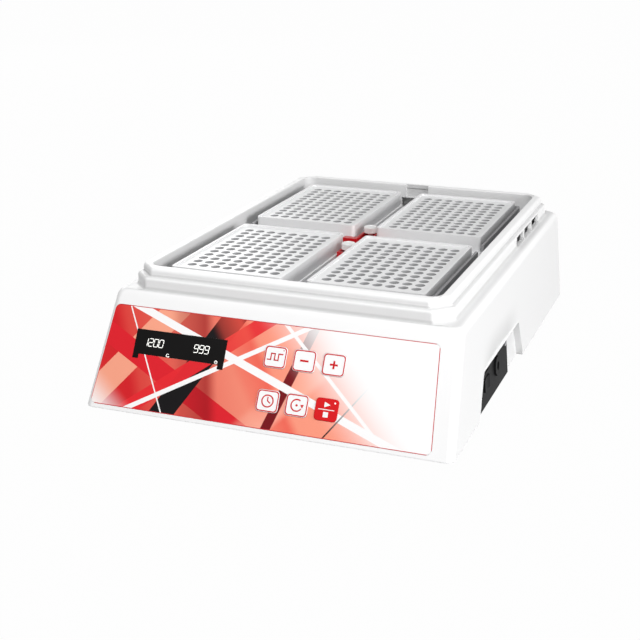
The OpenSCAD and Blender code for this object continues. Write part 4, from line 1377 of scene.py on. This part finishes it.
@dataclass
class Dressing:
    """Finish of every solid that shows as it is."""

    finishes: dict[Finish, tuple[str, ...]] = field(default_factory=lambda: {
        SHEET_METAL: ("base_pan", "deck"),
        RUBBER: ("feet", "belt"),
        SCREW_STEEL: ("shell_screws", "panel_screws", "deck_screws", "motor_screws"),
        BLACK_MOULDING: ("inlet_panel", "power_socket", "rocker_frame", "rocker",
                         "display_module", "key_switches"),
        TURNED_STEEL: ("board_spacers", "driver_spacers", "socket_nut", "deck_posts",
                       "main_bearings", "table_bearing", "motor_pulley", "crank_shaft",
                       "idler_front_left", "idler_front_right", "idler_back_left",
                       "idler_back_right"),
        CAST_ALLOY: ("bearing_housing", "idler_hubs", "crank_pulley"),
        WEIGHT_IRON: ("counterweight",),
        MOTOR_ENAMEL: ("motor",),
        BOARD_GREEN: ("control_board", "driver_board"),
        TRAY_METAL: ("platform",),
        WHITE_PLATE: ("plate_front_left", "plate_front_right", "plate_back_left",
                      "plate_back_right"),
        RED_ENAMEL: ("clamp_front", "clamp_back"),
    })

    def build(self) -> None:
        """Gives each node its finish."""
        for finish, names in self.finishes.items():
            dress(finish, *names)


@dataclass
class Studio:
    """Camera, floor, lamps and the plain white surround."""

    focal_px: float = 1214.22
    image_px: float = 640.0
    sensor: float = 36.0
    azimuth: float = 20.77
    elevation: float = 19.08
    distance: float = 735.36
    target: tuple[float, float, float] = (44.55, -191.28, 89.5)
    lamps: tuple[tuple[str, tuple[float, float, float], float, float], ...] = (
        ("right", (2.09, -0.46, 0.52), 0.9, 33.5),
        ("front", (0.30, -1.30, 1.75), 1.1, 38.5),
        ("back", (-1.32, 1.58, 0.75), 1.1, 17.0),
    )
    surround: float = 0.2
    floor_half: float = 6.0
    floor_z: float = -0.0002
    floor_grey: float = 0.22
    floor_glow: float = 0.985
    aim_z: float = 0.05

    def camera(self) -> None:
        """Camera at the photograph's viewpoint."""
        data = bpy.data.cameras.new("camera")
        data.sensor_width = self.sensor
        data.lens = self.sensor * self.focal_px / self.image_px
        data.clip_start, data.clip_end = 0.05, 20.0
        camera = bpy.data.objects.new("camera", data)
        bpy.context.scene.collection.objects.link(camera)
        a, e = math.radians(self.azimuth), math.radians(self.elevation)
        back = Vector((math.sin(a) * math.cos(e), -math.cos(a) * math.cos(e), math.sin(e)))
        camera.location = (Vector(self.target) + back * self.distance) * MM
        camera.rotation_mode = "QUATERNION"
        camera.rotation_quaternion = (-back).to_track_quat("-Z", "Y")
        bpy.context.scene.camera = camera

    def seen(self, graph: Graph) -> Signal:
        """1 for what the camera, mirrors and glass show, 0 for light."""
        path = graph.tree.nodes.new("ShaderNodeLightPath")
        shown = Signal(graph, path.outputs["Is Camera Ray"])
        for name in ("Is Glossy Ray", "Is Transmission Ray"):
            shown = shown.most(Signal(graph, path.outputs[name]))
        return shown

    def floor(self) -> None:
        """Pale floor that keeps a soft shadow."""
        half = self.floor_half
        corners = box_outline(-half, -half, half, half)
        mesh = mesh_of("floor", [Vector((x, y, self.floor_z)) for x, y in corners], [(0, 1, 2, 3)])
        graph = Graph("floor")
        graph.shader.inputs["Roughness"].default_value = 0.9
        graph.shader.inputs["Specular IOR Level"].default_value = 0.0
        graph.feed(graph.shader.inputs["Base Color"], 3 * (self.floor_grey,))
        glow = graph.node("ShaderNodeEmission", {}, {"Color": (1, 1, 1), "Strength": 1.0})
        blend = graph.node("ShaderNodeMixShader", {}, {0: self.seen(graph) * self.floor_glow, 2: glow})
        graph.tree.links.new(graph.shader.outputs["BSDF"], blend.socket.node.inputs[1])
        graph.tree.links.new(blend.socket, graph.out.inputs["Surface"])
        floor = bpy.data.objects.new("floor", mesh)
        bpy.context.scene.collection.objects.link(floor)
        mesh.materials.append(graph.material)

    def world(self) -> None:
        """White surround for the camera and a softer one for light."""
        world = bpy.data.worlds.new("surround")
        world.use_nodes = True
        tree = world.node_tree
        tree.nodes.clear()
        out = tree.nodes.new("ShaderNodeOutputWorld")
        path = tree.nodes.new("ShaderNodeLightPath")
        light, shown = (tree.nodes.new("ShaderNodeBackground") for _ in range(2))
        light.inputs["Strength"].default_value = self.surround
        shown.inputs["Strength"].default_value = 1.0
        for node in (light, shown):
            node.inputs["Color"].default_value = (1, 1, 1, 1)
        blend = tree.nodes.new("ShaderNodeMixShader")
        tree.links.new(path.outputs["Is Camera Ray"], blend.inputs[0])
        tree.links.new(light.outputs[0], blend.inputs[1])
        tree.links.new(shown.outputs[0], blend.inputs[2])
        tree.links.new(blend.outputs[0], out.inputs["Surface"])
        bpy.context.scene.world = world

    def light(self) -> None:
        """Large soft lamps."""
        for name, place, width, power in self.lamps:
            data = bpy.data.lights.new(name, "AREA")
            data.shape, data.size, data.energy = "SQUARE", width, power
            lamp = bpy.data.objects.new(name, data)
            bpy.context.scene.collection.objects.link(lamp)
            lamp.location = place
            aim = Vector((0, 0, self.aim_z)) - Vector(place)
            lamp.rotation_mode = "QUATERNION"
            lamp.rotation_quaternion = aim.to_track_quat("-Z", "Y")

    def build(self) -> None:
        """Sets up the studio."""
        self.camera()
        self.floor()
        self.world()
        self.light()
        bpy.context.scene.view_settings.view_transform = "Standard"
        LOG.info("studio: %d lamps", len(self.lamps))


def main() -> None:
    """Builds the scene in order."""
    logging.basicConfig(level=logging.INFO, format="%(name)s %(message)s")
    Studio().build()
    HousingShell().build()
    FrontPanel().build()
    Dressing().build()
    for name in ("knob_front", "knob_back"):
        Knob(name).build()


if __name__ == "__main__":
    main()
